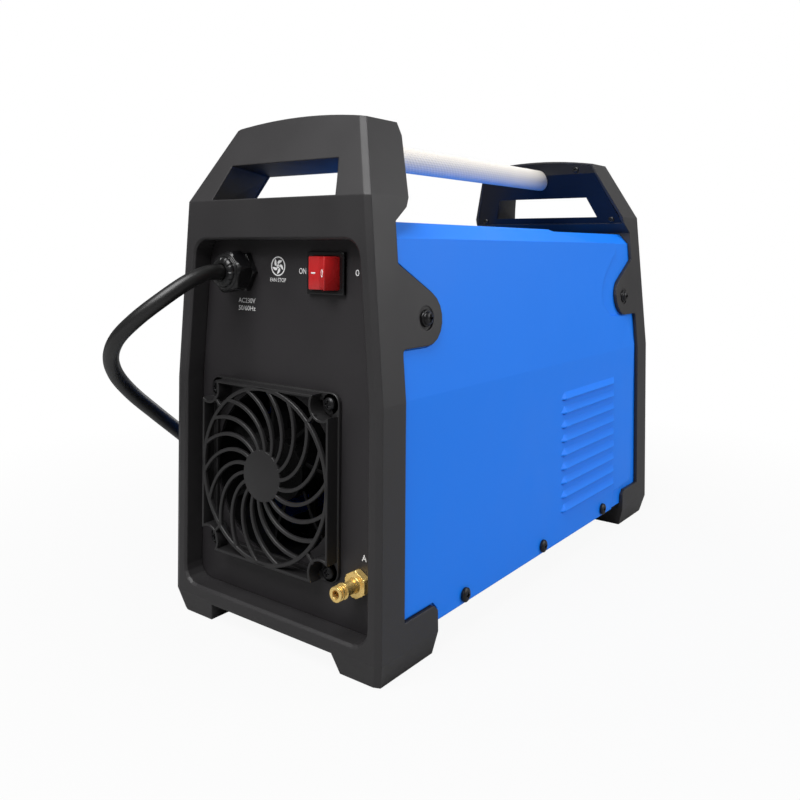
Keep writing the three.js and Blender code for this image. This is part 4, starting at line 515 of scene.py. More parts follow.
def frames_along(path):
    """Unit tangents and two normals at each point of a path, carried along it without twist."""
    path = np.asarray(path, float)
    tangent = np.gradient(path, axis=0)
    tangent /= np.linalg.norm(tangent, axis=1)[:, None]
    side = np.zeros_like(path)
    first = np.cross(tangent[0], (0.0, 0.0, 1.0))
    side[0] = first / np.linalg.norm(first)
    for i in range(1, len(path)):
        carried = side[i - 1] - tangent[i] * np.dot(side[i - 1], tangent[i])
        side[i] = carried / np.linalg.norm(carried)
    return side, np.cross(tangent, side)


def tube(path, radius, sides=24):
    """A closed tube: at each path point a circle of the radius in the plane square to the path."""
    side, up = frames_along(path)
    angle = np.linspace(0, 2 * np.pi, sides, endpoint=False)
    ring = np.cos(angle)[None, :, None] * side[:, None] + np.sin(angle)[None, :, None] * up[:, None]
    return sheet(np.asarray(path)[:, None] + ring * radius)


def between(s, start, end, a, b):
    """The value at s on the line from a, at start, to b, at end."""
    return (end - s) / (end - start) * a + (s - start) / (end - start) * b


def smooth_route(points, per_span):
    """A centripetal Catmull-Rom curve: each span is weighted by the square root of its chord."""
    points = np.asarray(points, float)
    ends = np.vstack([2 * points[0] - points[1], points, 2 * points[-1] - points[-2]])
    out = []
    for i in range(1, len(ends) - 2):
        p0, p1, p2, p3 = ends[i - 1: i + 3]
        chords = [np.linalg.norm(b - a) ** 0.5 for a, b in ((p0, p1), (p1, p2), (p2, p3))]
        t = np.concatenate([[0.0], np.cumsum(chords)])
        s = np.linspace(t[1], t[2], per_span, endpoint=False)[:, None]
        a1 = between(s, t[0], t[1], p0, p1)
        a2 = between(s, t[1], t[2], p1, p2)
        a3 = between(s, t[2], t[3], p2, p3)
        b1 = between(s, t[0], t[2], a1, a2)
        b2 = between(s, t[1], t[3], a2, a3)
        out.append(between(s, t[1], t[2], b1, b2))
    return np.vstack(out + [points[-1:]])


# ------------------------ mains lead
CORD = 10.5  # diameter of the jacket
COIL_MIDDLE = (190.0, 12.0)
COIL_OUTER = 68.9  # radius of the outer turn
COIL_PITCH, COIL_LOOPS = 11.1, 4
COIL_LOW = 5.55  # height of the lower layer
TAIL_LENGTH, TAIL_END_Z = 62.0, 18.8
END_GAP = 0.3  # left between the solid coil and the solid lead
FINE_STEPS = 9600  # per turn, to find the coil's directions at its ends
ROUTE_STEPS = 6
LAST_BEND = 1.6  # cord diameters of straight lead before the coil


def coil_line(steps_per_loop=32):
    """Spiral in on the floor, climb one layer, spiral out: the radius falls by a pitch a turn, then grows."""
    turns = np.linspace(0, COIL_LOOPS, COIL_LOOPS * steps_per_loop + 1)
    middle = COIL_LOOPS / 2
    radius = COIL_OUTER - COIL_PITCH * (middle - np.abs(turns - middle))
    climb = np.clip((turns - middle) * 2 + 0.5, 0, 1)
    angle = np.pi + turns * 2 * np.pi
    height = COIL_LOW + COIL_PITCH * (0.5 - 0.5 * np.cos(np.pi * climb))
    x, y = COIL_MIDDLE[0] + radius * np.cos(angle), COIL_MIDDLE[1] + radius * np.sin(angle)
    return np.stack([x, y, height], 1)


def heading(a, b):
    """Level unit vector from one point toward another."""
    step = np.array([b[0] - a[0], b[1] - a[1], 0.0])
    return step / np.linalg.norm(step)


coil = coil_line()
fine = coil_line(FINE_STEPS)
coil_in, coil_out = heading(fine[0], fine[1]), heading(fine[-2], fine[-1])
floor_end = coil[0] - coil_in * (CORD + END_GAP)
gland_low, gland_high, gland_mid = centre_of("gland_nut")
gland_exit = np.array([gland_mid[0], gland_high[1], gland_mid[2]])
free_route = [
    gland_exit, (41.5, 227, 240.4), (43.4, 241, 235.5), (51.8, 258.8, 222.3), (64, 267.3, 210.6),
    (80, 269.5, 197.8), (96, 263.5, 184), (108.5, 251, 169.5), (116, 233.5, 154), (119, 211, 136),
    (119.6, 184, 114), (120, 152, 86), (120.5, 119, 56.5), (120.9, 88, 30), (121.1, 60, 11.5),
    floor_end - coil_in * LAST_BEND * CORD, floor_end,
]
tail_start = coil[-1] + coil_out * (CORD + END_GAP)
tail_end = tail_start + coil_out * TAIL_LENGTH
tail_end[2] = TAIL_END_Z
tail_route = [tail_start, tail_start + coil_out * CORD, tail_end - coil_out * CORD, tail_end]
free_line, tail_line = smooth_route(free_route, ROUTE_STEPS), smooth_route(tail_route, ROUTE_STEPS)
lead_line = np.vstack([free_line[:-1], coil, tail_line])
lead = make_piece("mains_lead", [tube(lead_line, CORD / 2)], RUBBER,
                  instead_of=("mains_cord", "cord_coil", "cord_tail"))


STRAP_ANGLE, STRAP_WIDTH, STRAP_THICK, STRAP_SLACK = -60.0, 16.0, 0.9, 0.4
STRAP_LOW, STRAP_FLOOR = 0.26, 0.02  # heights of its inner and outer side under the coil
STRAP_CORNERS = (5.0, 5.5)  # radii inside and outside


def strap_round_coil():
    """A strap wound once round the coil's turns: a rounded rectangle in the upright plane through the
    coil's middle, carried sideways by the strap's width."""
    a = math.radians(STRAP_ANGLE)
    out, over = np.array([math.cos(a), math.sin(a), 0]), np.array([-math.sin(a), math.cos(a), 0])
    inner, outer = COIL_OUTER - 2 * COIL_PITCH - CORD / 2 - STRAP_SLACK, COIL_OUTER + CORD / 2 + STRAP_SLACK
    low, high = STRAP_LOW, COIL_LOW + COIL_PITCH + CORD / 2 + STRAP_SLACK
    size, middle = (outer - inner, high - low), ((inner + outer) / 2, (low + high) / 2)
    inside = rounded_rectangle(*size, STRAP_CORNERS[0], middle)
    outside = rounded_rectangle(size[0] + 2 * STRAP_THICK, size[1] + STRAP_THICK, STRAP_CORNERS[1],
                                (middle[0], middle[1] + STRAP_THICK / 2))
    outside[:, 1] = np.maximum(outside[:, 1], STRAP_FLOOR)
    base = np.array([*COIL_MIDDLE, 0.0])
    upright = np.array([0, 0, 1.0])
    rows = []
    for loop, across in ((inside, -1), (inside, 1), (outside, 1), (outside, -1)):
        flat = base + loop[:, :1] * out + loop[:, 1:] * upright
        rows.append(flat + over * across * STRAP_WIDTH / 2)
    return sheet(np.stack(rows), close_rows=True)


tie = make_piece("coil_strap", [strap_round_coil()], STRAP, slot="cord_rubber")

# ------------------------ fan guard
GUARD_SIZE, GUARD_WALL, GUARD_GRILLE, GUARD_RING, GUARD_HUB = 117.0, 1.8, 2.6, 2.8, 34.0
GUARD_RIBS, RIB_WIDTH, RIB_SWEEP, RIB_CURL = 18, 2.5, 46.0, 1.15
NOTCH_RADIUS, SCREW_PITCH = 9.0, 105.0
FLANGE_WIDTH, FLANGE_THICK = 6.0, 2.4
guard_low, guard_high, guard_mid = centre_of("fan_guard")
GUARD_MIDDLE = guard_mid[[0, 2]]
GUARD_BACK, GUARD_FRONT = guard_low[1], guard_high[1]


def guard_wall_path(inset):
    """The square with a concave bite round each corner screw, at a distance inside the outer face."""
    half = GUARD_SIZE / 2 - inset
    corner = SCREW_PITCH / 2
    radius = NOTCH_RADIUS + inset
    start = math.acos(min(1.0, (half - corner) / radius))
    bite = np.linspace(-start, start - 1.5 * np.pi, 15)
    quarter = np.stack([corner + radius * np.cos(bite), corner + radius * np.sin(bite)], 1)
    spots = []
    for k in range(4):
        c, s = math.cos(k * math.pi / 2), math.sin(k * math.pi / 2)
        spots.append(quarter @ np.array([[c, s], [-s, c]]))
    return np.vstack(spots) + GUARD_MIDDLE


def rib_path(index, steps=22):
    """A spiral: the angle falls by the sweep times the share of the way out, to the power of the curl."""
    share = np.linspace(0, 1, steps + 1)
    radius = GUARD_HUB / 2 - 1 + (GUARD_SIZE / 2 - GUARD_RING / 2 - GUARD_HUB / 2 + 1) * share
    angle = np.radians(index * 360 / GUARD_RIBS - RIB_SWEEP * share ** RIB_CURL)
    return np.stack([radius * np.cos(angle), radius * np.sin(angle)], 1) + GUARD_MIDDLE


def guard_parts():
    """Ribs, ring, hub disc, corner bars, walls and the thin flange that the screws hold."""
    front, back, hub_radius = GUARD_FRONT, GUARD_FRONT - GUARD_GRILLE, GUARD_HUB / 2
    section = soft_section(RIB_WIDTH / 2, back, front - 0.25, 0.7)
    parts = [bar_along(rib_path(k), section) for k in range(GUARD_RIBS)]
    ring = circle((GUARD_SIZE - GUARD_RING) / 2, 120) + GUARD_MIDDLE
    parts.append(bar_along(ring, soft_section(GUARD_RING / 2, back, front, 0.8), closed=True))
    hub = [(0, front - 0.3), (hub_radius - 1.2, front - 0.2), (hub_radius - 0.3, front - 0.5),
           (hub_radius, front - 1.0), (hub_radius, back), (0, back)]
    parts.append(plain_turned(hub, (GUARD_MIDDLE[0], 0, GUARD_MIDDLE[1])))
    for k in range(4):
        a = math.radians(45 + 90 * k)
        reach = (GUARD_SIZE / 2 - 1, SCREW_PITCH / 2 * 2 ** 0.5 - NOTCH_RADIUS + 0.5)
        spoke = np.array([[r * math.cos(a), r * math.sin(a)] for r in reach])
        parts.append(bar_along(spoke + GUARD_MIDDLE, soft_section(1.0, back, front - 0.3, 0.5)))
    wall = guard_wall_path(GUARD_WALL / 2)
    parts.append(bar_along(wall, soft_section(GUARD_WALL / 2, GUARD_BACK + 0.3, front, 0.6), closed=True))
    top = GUARD_BACK + FLANGE_THICK
    boss = [(2.3, GUARD_BACK), (6.9, GUARD_BACK), (6.9, GUARD_BACK + 2.0), (6.5, top), (2.3, top)]
    for x, z in ((-1, -1), (1, -1), (-1, 1), (1, 1)):
        spot = GUARD_MIDDLE + np.array([x, z]) * SCREW_PITCH / 2
        parts.append(plain_turned(boss, (spot[0], 0, spot[1]), sides=48))
    side = guard_high[0] - guard_low[0] - FLANGE_WIDTH
    edge = rounded_rectangle(side, side, 4.0, GUARD_MIDDLE)
    parts.append(bar_along(edge, soft_section(FLANGE_WIDTH / 2, GUARD_BACK, top, 0.8), closed=True))
    return parts


# The grille's darker moulding is painted shade of the recess.
make_piece("guard_grille", guard_parts(), GUARD_PLASTIC_SHADED, instead_of=("fan_guard",))

# ------------------------ screws
HEAD_TALL, LUG_HEAD_TALL = 2.8, 4.0


def shank(radius, start, end, place, axis="y", facing=1):
    """The bar under a screw's head."""
    return plain_turned([(0, start), (radius, start), (radius, end), (0, end)], place, axis, 24, facing)


for k in range(1, 5):
    low, high, mid = centre_of(f"guard_screw_{k}")
    seat = high[1] - HEAD_TALL
    radius = (high[0] - low[0]) / 2
    shaft = shank(1.8, low[1], seat + 0.2, (mid[0], 0, mid[2]))
    head = screw_head(radius, HEAD_TALL, (mid[0], seat, mid[2]), size=2.3, depth=1.3)
    make_piece(f"guard_pan_screw_{k}", [head, shaft], BLACK_STEEL, instead_of=(f"guard_screw_{k}",))

for name in sorted(node for node in NODES if node.startswith(("side_screw", "lug_screw"))):
    low, high, mid = centre_of(name)
    facing = 1 if mid[0] > 0 else -1
    radius = (high[1] - low[1]) / 2
    tip, inner = (high[0], low[0]) if facing > 0 else (low[0], high[0])
    lug = name.startswith("lug")
    height = LUG_HEAD_TALL if lug else HEAD_TALL
    seat = tip - facing * height
    place = (seat, mid[1], mid[2])
    if lug:
        head = screw_head(radius - 1.0, height, place, "x", facing, 2.6, 1.6)
        collar = [(0, 0.0), (radius, 0.0), (radius, 0.9), (radius - 0.4, 1.4), (radius - 1.2, 1.5), (0, 1.5)]
        parts = [head, plain_turned(collar, place, "x", 64, facing)]
    else:
        parts = [screw_head(radius, height, place, "x", facing, 2.0, 1.3)]
    parts.append(shank(1.9, -abs(seat - inner), 0.3, place, "x", facing))
    make_piece(name.replace("screw", "bolt"), parts, BLACK_STEEL, instead_of=(name,))

PLATE_SCREWS = ((-70.5, 286.8), (70.5, 286.8), (-42.0, 335.0), (42.0, 335.0))
LEAN_BEND_Z, PLATE_UPRIGHT_Z = 283.0, 331.0  # between these heights the plates lean inward
PLATE_THICK = 2.4
for end, node in ((1, "rear_handle_plate"), (-1, "front_handle_plate")):
    low, high = centre_of(node)[:2]
    inner, foot = (low[1], high[1]) if end > 0 else (high[1], low[1])
    bottom = foot - end * PLATE_THICK
    parts = []
    for x, z in PLATE_SCREWS:
        share = min(1.0, max(0.0, (z - LEAN_BEND_Z) / (PLATE_UPRIGHT_Z - LEAN_BEND_Z)))
        face = bottom + (inner - bottom) * share
        parts.append(screw_head(2.9, 1.7, (x, face + end * 0.3, z), "y", -end, 1.5, 0.9, 48))
    make_piece(("rear" if end > 0 else "front") + "_plate_screws", parts, BLACK_STEEL, slot="screw_black")

# ------------------------ gland
GLAND_FLATS = gland_high[2] - gland_low[2]
NUT_TURN = -14.0
CAP_DOME = 4.2  # of the nut's length
CLAWS = 12
THREAD_TURNS, THREAD_PITCH = 15, 0.75


def claw_radius(profile):
    """A turned dome with slots: the radius dips where the cosine of so many times the angle is high."""
    def radius_of(i, angle):
        dip = np.clip(np.cos(CLAWS * angle) * 4 - 3, 0, 1)
        return profile[i][0] - dip * profile[i][2]
    return radius_of


nut_start, nut_end = gland_low[1], gland_high[1] - CAP_DOME
corner = GLAND_FLATS / math.sqrt(3)
nut_rows = [(0, nut_start), (corner - 1.6, nut_start), (corner, nut_start + 1.0), (corner, nut_end - 2.6),
            (corner - 1.2, nut_end - 1.2), (GLAND_FLATS / 2 - 0.6, nut_end), (0, nut_end)]
# Radius, height and depth of the slots of each row.
dome = [(0, nut_end - 0.5, 0), (11.6, nut_end - 0.5, 0), (11.6, nut_end + 0.4, 0), (10.5, nut_end + 0.9, 0.0),
        (10.4, nut_end + 2.2, 0.8), (9.4, nut_end + 3.5, 0.9), (7.6, nut_end + 4.1, 0.6),
        (6.2, nut_end + 4.2, 0), (5.6, nut_end + 3.4, 0), (0, nut_end + 3.4, 0)]
place = (gland_mid[0], 0, gland_mid[2])
make_piece("gland_cap", [hex_turned(GLAND_FLATS, nut_rows, place, NUT_TURN),
                         turned(claw_radius(dome), [row[1] for row in dome], place, "y", 144)],
           SHINY_PLASTIC, instead_of=("gland_nut",))
base_low, base_high = centre_of("gland_body")[:2]
base_face = base_high[1]
base_rows = [(0, base_face - 4.0), (corner, base_face - 4.0), (corner, base_face - 1.0),
             (corner - 1.2, base_face), (0, base_face)]
ridges = [(9.9 - 0.5 * (k % 2), base_low[1] + 0.5 + THREAD_PITCH * k) for k in range(THREAD_TURNS)]
thread = [(0, base_low[1])] + ridges + [(0, base_low[1] + 11.2)]
make_piece("gland_seat", [hex_turned(GLAND_FLATS, base_rows, place), plain_turned(thread, place, sides=48)],
           SHINY_PLASTIC, instead_of=("gland_body",))

# ------------------------ air inlet
NIPPLE_REACH = 22.5  # from the panel to the tip
HEX_GROWTH, HEX_TURN = 1.1, 30.0  # against the solid's hexagon
low, high, mid = centre_of("air_nipple")
face = high[1] - NIPPLE_REACH
HEX_FLATS = (high[2] - low[2]) * HEX_GROWTH
corner = HEX_FLATS / math.sqrt(3)
hex_rows = [(0, 0), (corner - 0.4, 0), (corner, 0.6), (corner, 4.2), (corner - 0.8, 4.9), (6.2, 5.2),
            (0, 5.2)]
stem = [(0, 5.0), (4.9, 5.0), (4.3, 6.0), (4.0, 7.4), (3.9, 14.9), (4.7, 15.2), (4.95, 15.5), (4.9, 16.2),
        (3.5, 16.7), (3.3, 18.5), (4.4, 18.8), (4.65, 19.1), (4.6, 19.7), (3.5, 20.1), (3.3, 21.0),
        (4.4, 21.3), (4.7, 21.8), (4.6, 22.3), (4.2, 22.5), (2.9, 22.5), (2.5, 22.2), (2.4, 11.0), (0, 11.0)]
back_thread = [(0, -11.0)] + [(4.7 - 0.35 * (k % 2), -10.8 + 0.6 * k) for k in range(18)] + [(0, -0.2)]
place = (mid[0], face, mid[2])
make_piece("inlet_nipple",
           [hex_turned(HEX_FLATS, hex_rows, place, HEX_TURN), plain_turned(stem, place, sides=72),
            plain_turned(back_thread, place, sides=48)],
           BRASS, instead_of=("air_nipple",))

# ------------------------ switch
ROCKER_TILT = math.radians(-16.0)
ROCKER_TOP, ROCKER_TALL = 9.2, 21.0  # half its width at the top, and its height
ROCKER_RISE, ROCKER_VALLEY = 8.1, 5.6  # above the pivot, at the top edges and in the middle
PIVOT_DEPTH = 1.5
BEZEL_RIM = 2.8
body_low, body_high, body_mid = centre_of("switch_body")
PIVOT = np.array([body_mid[0], body_high[1] - PIVOT_DEPTH, body_mid[2]])


def rocker_place(points):
    """From the rocker's own level position to its resting tilt on the pivot."""
    x, y, z = np.moveaxis(np.asarray(points, float), -1, 0)
    c, s = math.cos(ROCKER_TILT), math.sin(ROCKER_TILT)
    return np.stack([x * c - y * s, x * s + y * c, z], -1) + PIVOT


def rocker_top(x):
    """Height of the rocker's face: it rises evenly from the valley in the middle to each top edge."""
    return ROCKER_VALLEY + (ROCKER_RISE - ROCKER_VALLEY) * np.abs(x) / ROCKER_TOP


def rocker_part():
    """The section with rounded top edges swept upward, with both ends drawn in a little."""
    edge = np.array([(9.33, 7.5), (9.3, 7.8), (9.15, 8.02), (8.9, 8.06), (8.5, 7.93)])
    valley = [(x, 0.06 + float(rocker_top(max(abs(x), 0.25)))) for x in (0.8, 0.3, 0.0, -0.3, -0.8)]
    low = [(-11.3, -2.5), (-9.04, -6.27), (-2.5, -8.5), (2.5, -8.5), (9.04, -6.27), (11.3, -2.5)]
    section = np.vstack([low, edge, valley, edge[::-1] * (-1, 1)])
    rows = []
    for z, inset in ((-0.5, 0.45), (-0.492, 0.2), (-0.475, 0.0), (0.475, 0.0), (0.492, 0.2), (0.5, 0.45)):
        shrunk = section - np.sign(section) * inset * (np.abs(section) > 1.0)
        rows.append(np.column_stack([shrunk, np.full(len(section), z * ROCKER_TALL)]))
    points, faces = sheet(np.stack(rows))
    return rocker_place(points), faces


def on_rocker(path, half, closed):
    """A raised printed line on the rocker's face along a path of (x, z) points."""
    path = np.asarray(path, float)
    points, faces = bar_along(path, soft_section(half, -0.25, 0.12, 0.08), closed)
    points = points.copy()
    points[:, 1] += rocker_top(points[:, 0])
    return rocker_place(points), faces


make_piece("rocker_cap", [rocker_part()], RED_PLASTIC, body="rocker", instead_of=("switch_rocker",))
bar_mark = on_rocker([(x, 0.0) for x in np.linspace(3.4, 6.9, 6)], 0.5, False)
ring_mark = on_rocker(circle(1.0, 32) * (1.5, 2.15) + (-5.2, 0.0), 0.4, True)
make_piece("rocker_marks", [bar_mark, ring_mark], INK, body="rocker")

bezel_w, bezel_h = body_high[0] - body_low[0], body_high[2] - body_low[2]
bezel_front = body_high[1]
rim = rounded_rectangle(bezel_w - BEZEL_RIM, bezel_h - BEZEL_RIM, 0.8, body_mid[[0, 2]])
rim_section = soft_section(BEZEL_RIM / 2, bezel_front - 2.0, bezel_front + 0.3, 0.6)
make_piece("switch_rim", [bar_along(rim, rim_section, closed=True)], SHINY_PLASTIC, slot="dark_plastic")

# ------------------------ print on the rear panel
panel_high = centre_of("rear_panel")[1]
INK_PROUD, INK_THICK = 0.05, 0.03
PRINT_Y = panel_high[1] + INK_PROUD


def words(text, x, z, height, width):
    """Flat letters on the rear panel, read from behind: their right is -X. Scaled to a height and width."""
    curve = bpy.data.curves.new("letters", "FONT")
    curve.body = text
    holder = new_object("letters", curve)
    bpy.context.view_layer.update()
    flat = bpy.data.meshes.new_from_object(holder.evaluated_get(bpy.context.evaluated_depsgraph_get()))
    spots = np.array([vertex.co[:2] for vertex in flat.vertices])
    faces = [list(face.vertices) for face in flat.polygons]
    bpy.data.objects.remove(holder)
    bpy.data.meshes.remove(flat)
    bpy.data.curves.remove(curve)
    low, high = spots.min(0), spots.max(0)
    u, v = ((spots - (low + high) / 2) / (high - low) * (width, height)).T
    return np.stack([x - u, np.full(len(u), PRINT_Y), z + v], 1), faces


def ink_section(half, face, back):
    """The section of a printed line: a thin rectangle."""
    return [(-half, back), (-half, face), (half, face), (half, back)]


def flat_bar(path, half, closed=False):
    """A printed line of even width."""
    return bar_along(path, ink_section(half, PRINT_Y, PRINT_Y - INK_THICK), closed)


def flat_strip(one, other, level):
    """A flat strip between two lines of (x, z) points, at a y level."""
    grid = np.stack([one, other], 1)
    spots = np.stack([grid[..., 0], np.full(grid.shape[:2], level), grid[..., 1]], -1)
    return sheet(spots, close_columns=False, caps=False)


def fan_picture(x, z, radius):
    """A ring with five swept blades: each blade is a leaf whose half width rises and falls like a sine."""
    parts = [flat_bar(circle(radius, 64, (x, z)), 0.42, closed=True),
             flat_bar(circle(radius * 0.14, 24, (x, z)), 0.4, closed=True)]
    share = np.linspace(0.0, 1.0, 15)
    for k in range(5):
        r = radius * (0.24 + 0.62 * share)
        a = np.radians(72 * k + 20) + 0.75 * share
        half = radius * 0.21 * np.sin(np.pi * np.clip(share * 0.9 + 0.08, 0, 1))
        outer = np.stack([x + r * np.cos(a) - half * np.sin(a), z + r * np.sin(a) + half * np.cos(a)], 1)
        inner = np.stack([x + r * np.cos(a) + half * np.sin(a), z + r * np.sin(a) - half * np.cos(a)], 1)
        parts.append(flat_strip(outer, inner, PRINT_Y))
    return parts


# Text, x and z of its middle, height, width.
PRINT = (("ON", -15.0, 242.3, 3.8, 6.1), ("0", -61.2, 242.2, 3.9, 2.9), ("FAN STOP", 7.3, 235.9, 2.6, 14.6),
         ("AC230V", 37.3, 221.0, 3.2, 16.6), ("50/60Hz", 37.1, 215.8, 3.2, 16.6),
         ("A", -68.1, 68.8, 4.0, 3.6))
FAN_PICTURE = (7.4, 245.0, 6.1)  # x and z of its middle, radius
letters = [words(*row) for row in PRINT]
make_piece("rear_print", letters + fan_picture(*FAN_PICTURE), INK, slot="black_sheet", smooth_below=5)

# ------------------------ front controls
FLUTES = 18
KNOB_TALL = 16.0
low, high, mid = centre_of("current_knob")
KNOB_R = (high[0] - low[0]) / 2


def flute_radius(profile):
    """A turned knob with flutes: where a row is fluted its radius waves with the angle."""
    def radius_of(i, angle):
        return profile[i][0] - profile[i][2] * (0.5 - 0.5 * np.cos(FLUTES * angle))
    return radius_of


# Radius, height and depth of the flutes of each row.
knob_rows = [(0, KNOB_TALL, 0), (KNOB_R - 6.5, KNOB_TALL, 0), (KNOB_R - 5.2, 15.6, 0.1),
             (KNOB_R - 4.0, 14.4, 0.7), (KNOB_R - 2.8, 4.0, 0.9), (KNOB_R - 2.0, 3.0, 0.2),
             (KNOB_R - 0.4, 2.2, 0), (KNOB_R, 1.6, 0), (KNOB_R, 0, 0), (0, 0, 0)]
knob_place = (mid[0], low[1] + KNOB_TALL, mid[2])
shaft_len = high[1] - knob_place[1]
make_piece("knob_cap",
           [turned(flute_radius(knob_rows), [row[1] for row in knob_rows], knob_place, "y", 216, -1),
            plain_turned([(0, 0.5), (3, 0.5), (3, -shaft_len), (0, -shaft_len)], knob_place, "y", 32, -1)],
           SHINY_PLASTIC, body="knob", instead_of=("current_knob",))
pointer = [(mid[0], mid[2] + 2.0), (mid[0], mid[2] + KNOB_R - 6.8)]
pointer_section = soft_section(0.7, knob_place[1] - 15.8, knob_place[1] - 16.15, 0.1)
make_piece("knob_pointer", [bar_along(pointer, pointer_section)], INK, body="knob")

front_y = -panel_high[1] - INK_PROUD
FRONT_PRINT = ink_section(0.35, front_y, front_y + INK_THICK)
LAMP_X, LAMP_MARK_Z = 12.0, 198.5
BUTTON_X, BUTTON_Z, BUTTON_RING = 46.0, 150.0, 8.6
SOCKET_X, SOCKET_MARK_Z = 42.0, 104.0
ticks = []
for k in range(11):
    a = math.radians(225 - 27 * k)
    reach = (KNOB_R + 2.5, KNOB_R + (5.5 if k % 5 == 0 else 4.2))
    ends = [(mid[0] + r * math.cos(a), mid[2] + r * math.sin(a)) for r in reach]
    ticks.append(bar_along(ends, FRONT_PRINT))
for x in (-LAMP_X, LAMP_X):
    ticks.append(bar_along([(x - 3.5, LAMP_MARK_Z), (x + 3.5, LAMP_MARK_Z)], FRONT_PRINT))
for x in (-BUTTON_X, BUTTON_X):
    ticks.append(bar_along(circle(BUTTON_RING, 40, (x, BUTTON_Z)), FRONT_PRINT, closed=True))
for x in (-SOCKET_X, SOCKET_X):
    ticks.append(bar_along([(x - 3.0, SOCKET_MARK_Z), (x + 3.0, SOCKET_MARK_Z)], FRONT_PRINT))
ticks.append(bar_along([(SOCKET_X, SOCKET_MARK_Z - 3.0), (SOCKET_X, SOCKET_MARK_Z + 3.0)], FRONT_PRINT))
make_piece("front_scale", ticks, INK, slot="black_sheet", smooth_below=5)

window_low, window_high, window_mid = centre_of("display_window")
DIGIT_TALL, DIGIT_WIDE, DIGIT_STEP = 15.0, 8.0, 13.0
SEGMENTS = {"4": "bcfg", "0": "abcdef"}
FIGURE_Y = window_low[1] - 0.03


def digit(letter, x, z):
    """A seven-bar figure: each bar is a thin lozenge along one edge of a rectangle, seen from the front."""
    w, h = DIGIT_WIDE / 2, DIGIT_TALL / 2
    corners = {"a": ((-w, h), (w, h)), "b": ((w, h), (w, 0)), "c": ((w, 0), (w, -h)),
               "d": ((w, -h), (-w, -h)), "e": ((-w, -h), (-w, 0)), "f": ((-w, 0), (-w, h)),
               "g": ((-w, 0), (w, 0))}
    bars = []
    for name in SEGMENTS[letter]:
        (u0, v0), (u1, v1) = corners[name]
        share = np.array([0.1, 0.16, 0.84, 0.9])
        spots = np.stack([x + u0 + (u1 - u0) * share, z + v0 + (v1 - v0) * share], 1)
        along = np.array([u1 - u0, v1 - v0]) / math.hypot(u1 - u0, v1 - v0)
        half = np.array([0.1, 0.8, 0.8, 0.1])[:, None] * np.array([-along[1], along[0]])
        bars.append(flat_strip(spots + half, spots - half, FIGURE_Y))
    return bars


figures = []
for letter, shift in (("4", -DIGIT_STEP / 2), ("0", DIGIT_STEP / 2)):
    figures += digit(letter, window_mid[0] + shift, window_mid[2])
make_piece("display_figures", figures, GLOW, slot="display", smooth_below=5)
RIM_GROWTH = 3.0
rim_wide, rim_tall = (window_high - window_low)[[0, 2]] + RIM_GROWTH
rim = rounded_rectangle(rim_wide, rim_tall, 2.5, window_mid[[0, 2]])
rim_foot, rim_face = front_y + INK_THICK, front_y - 0.9
rim_section = [(-1.4, rim_foot), (-1.1, rim_face), (1.1, rim_face), (1.4, rim_foot)]
make_piece("display_rim", [bar_along(rim, rim_section, closed=True)], SHINY_PLASTIC, slot="dark_plastic")

# ------------------------ floor and light
FLOOR_HALF_M, FLOOR_Z_M = 12, -0.0005
FLOOR_GREY = 0.4
FADE_FROM_M, FADE_TO_M = 0.25, 0.65  # the floor turns from nearly white to white between these distances
FADE_START = 0.93
AMBIENT = 0.17

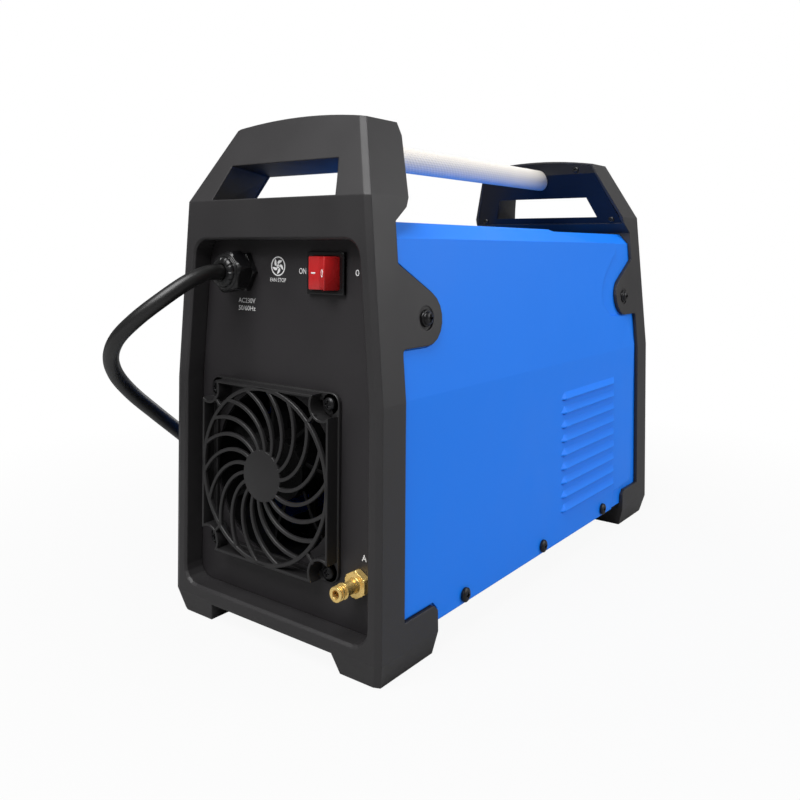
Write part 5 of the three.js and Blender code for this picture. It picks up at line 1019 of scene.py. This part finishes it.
floor_mesh = bpy.data.meshes.new("floor")
floor_corners = [(x * FLOOR_HALF_M, y * FLOOR_HALF_M, FLOOR_Z_M)
                 for x, y in ((-1, -1), (1, -1), (1, 1), (-1, 1))]
floor_mesh.from_pydata(floor_corners, [], [(0, 1, 2, 3)])
floor = new_object("floor", floor_mesh)
floor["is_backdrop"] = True
floor_look = bpy.data.materials.new("pale floor")
floor_look.use_nodes = True
floor_tree = Tree(floor_look.node_tree)
floor_shader = floor_look.node_tree.nodes["Principled BSDF"]
floor_shader.inputs["Base Color"].default_value = (FLOOR_GREY, FLOOR_GREY, FLOOR_GREY, 1)
floor_shader.inputs["Roughness"].default_value = 0.9
floor_shader.inputs["Specular IOR Level"].default_value = 0.1
direct = seen_directly(floor_tree)
where = floor_tree.put("ShaderNodeTexCoord").outputs["Object"]
far = floor_tree.put("ShaderNodeVectorMath", {0: where}, operation="LENGTH")
fade = floor_tree.ramp(far.outputs["Value"], FADE_FROM_M, FADE_TO_M, FADE_START, 1.0)
white = floor_tree.put("ShaderNodeEmission", {"Color": (1, 1, 1, 1), "Strength": 1.0})
mixed = floor_tree.put("ShaderNodeMixShader", {0: floor_tree.math("MULTIPLY", direct, fade)})
floor_tree.feed(mixed.inputs[1], floor_shader.outputs[0])
floor_tree.feed(mixed.inputs[2], white.outputs[0])
floor_tree.feed(floor_look.node_tree.nodes["Material Output"].inputs["Surface"], mixed.outputs[0])
floor_mesh.materials.append(floor_look)

world = bpy.data.worlds.new("studio")
bpy.context.scene.world = world
world.use_nodes = True
air = Tree(world.node_tree)
shown = seen_directly(air)
backdrop = world.node_tree.nodes["Background"]
backdrop.inputs["Color"].default_value = (1, 1, 1, 1)
air.feed(backdrop.inputs["Strength"], air.math("ADD", air.math("MULTIPLY", shown, 1.0 - AMBIENT), AMBIENT))


def lamp(name, place, target, size, watts):
    """A soft square lamp that faces its target; place, target and size in metres."""
    data = bpy.data.lights.new(name, "AREA")
    data.size = size
    data.energy = watts
    made = new_object(name, data)
    made.location = place
    made.rotation_euler = (Vector(target) - Vector(place)).to_track_quat("-Z", "Y").to_euler()


lamp("key above", (-0.1, 0.9, 1.3), (0, 0.05, 0.2), 0.9, 24.0)
lamp("side fill", (-1.3, -0.7, 0.8), (0, 0, 0.15), 1.2, 15.0)
lamp("front fill", (0.4, -1.6, 0.8), (0, -0.1, 0.15), 0.9, 6.0)
lamp("rear fill", (0.2, 1.3, 1.05), (0, 0.1, 0.2), 0.9, 4.2)

# ------------------------ measure and finish
low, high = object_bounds()
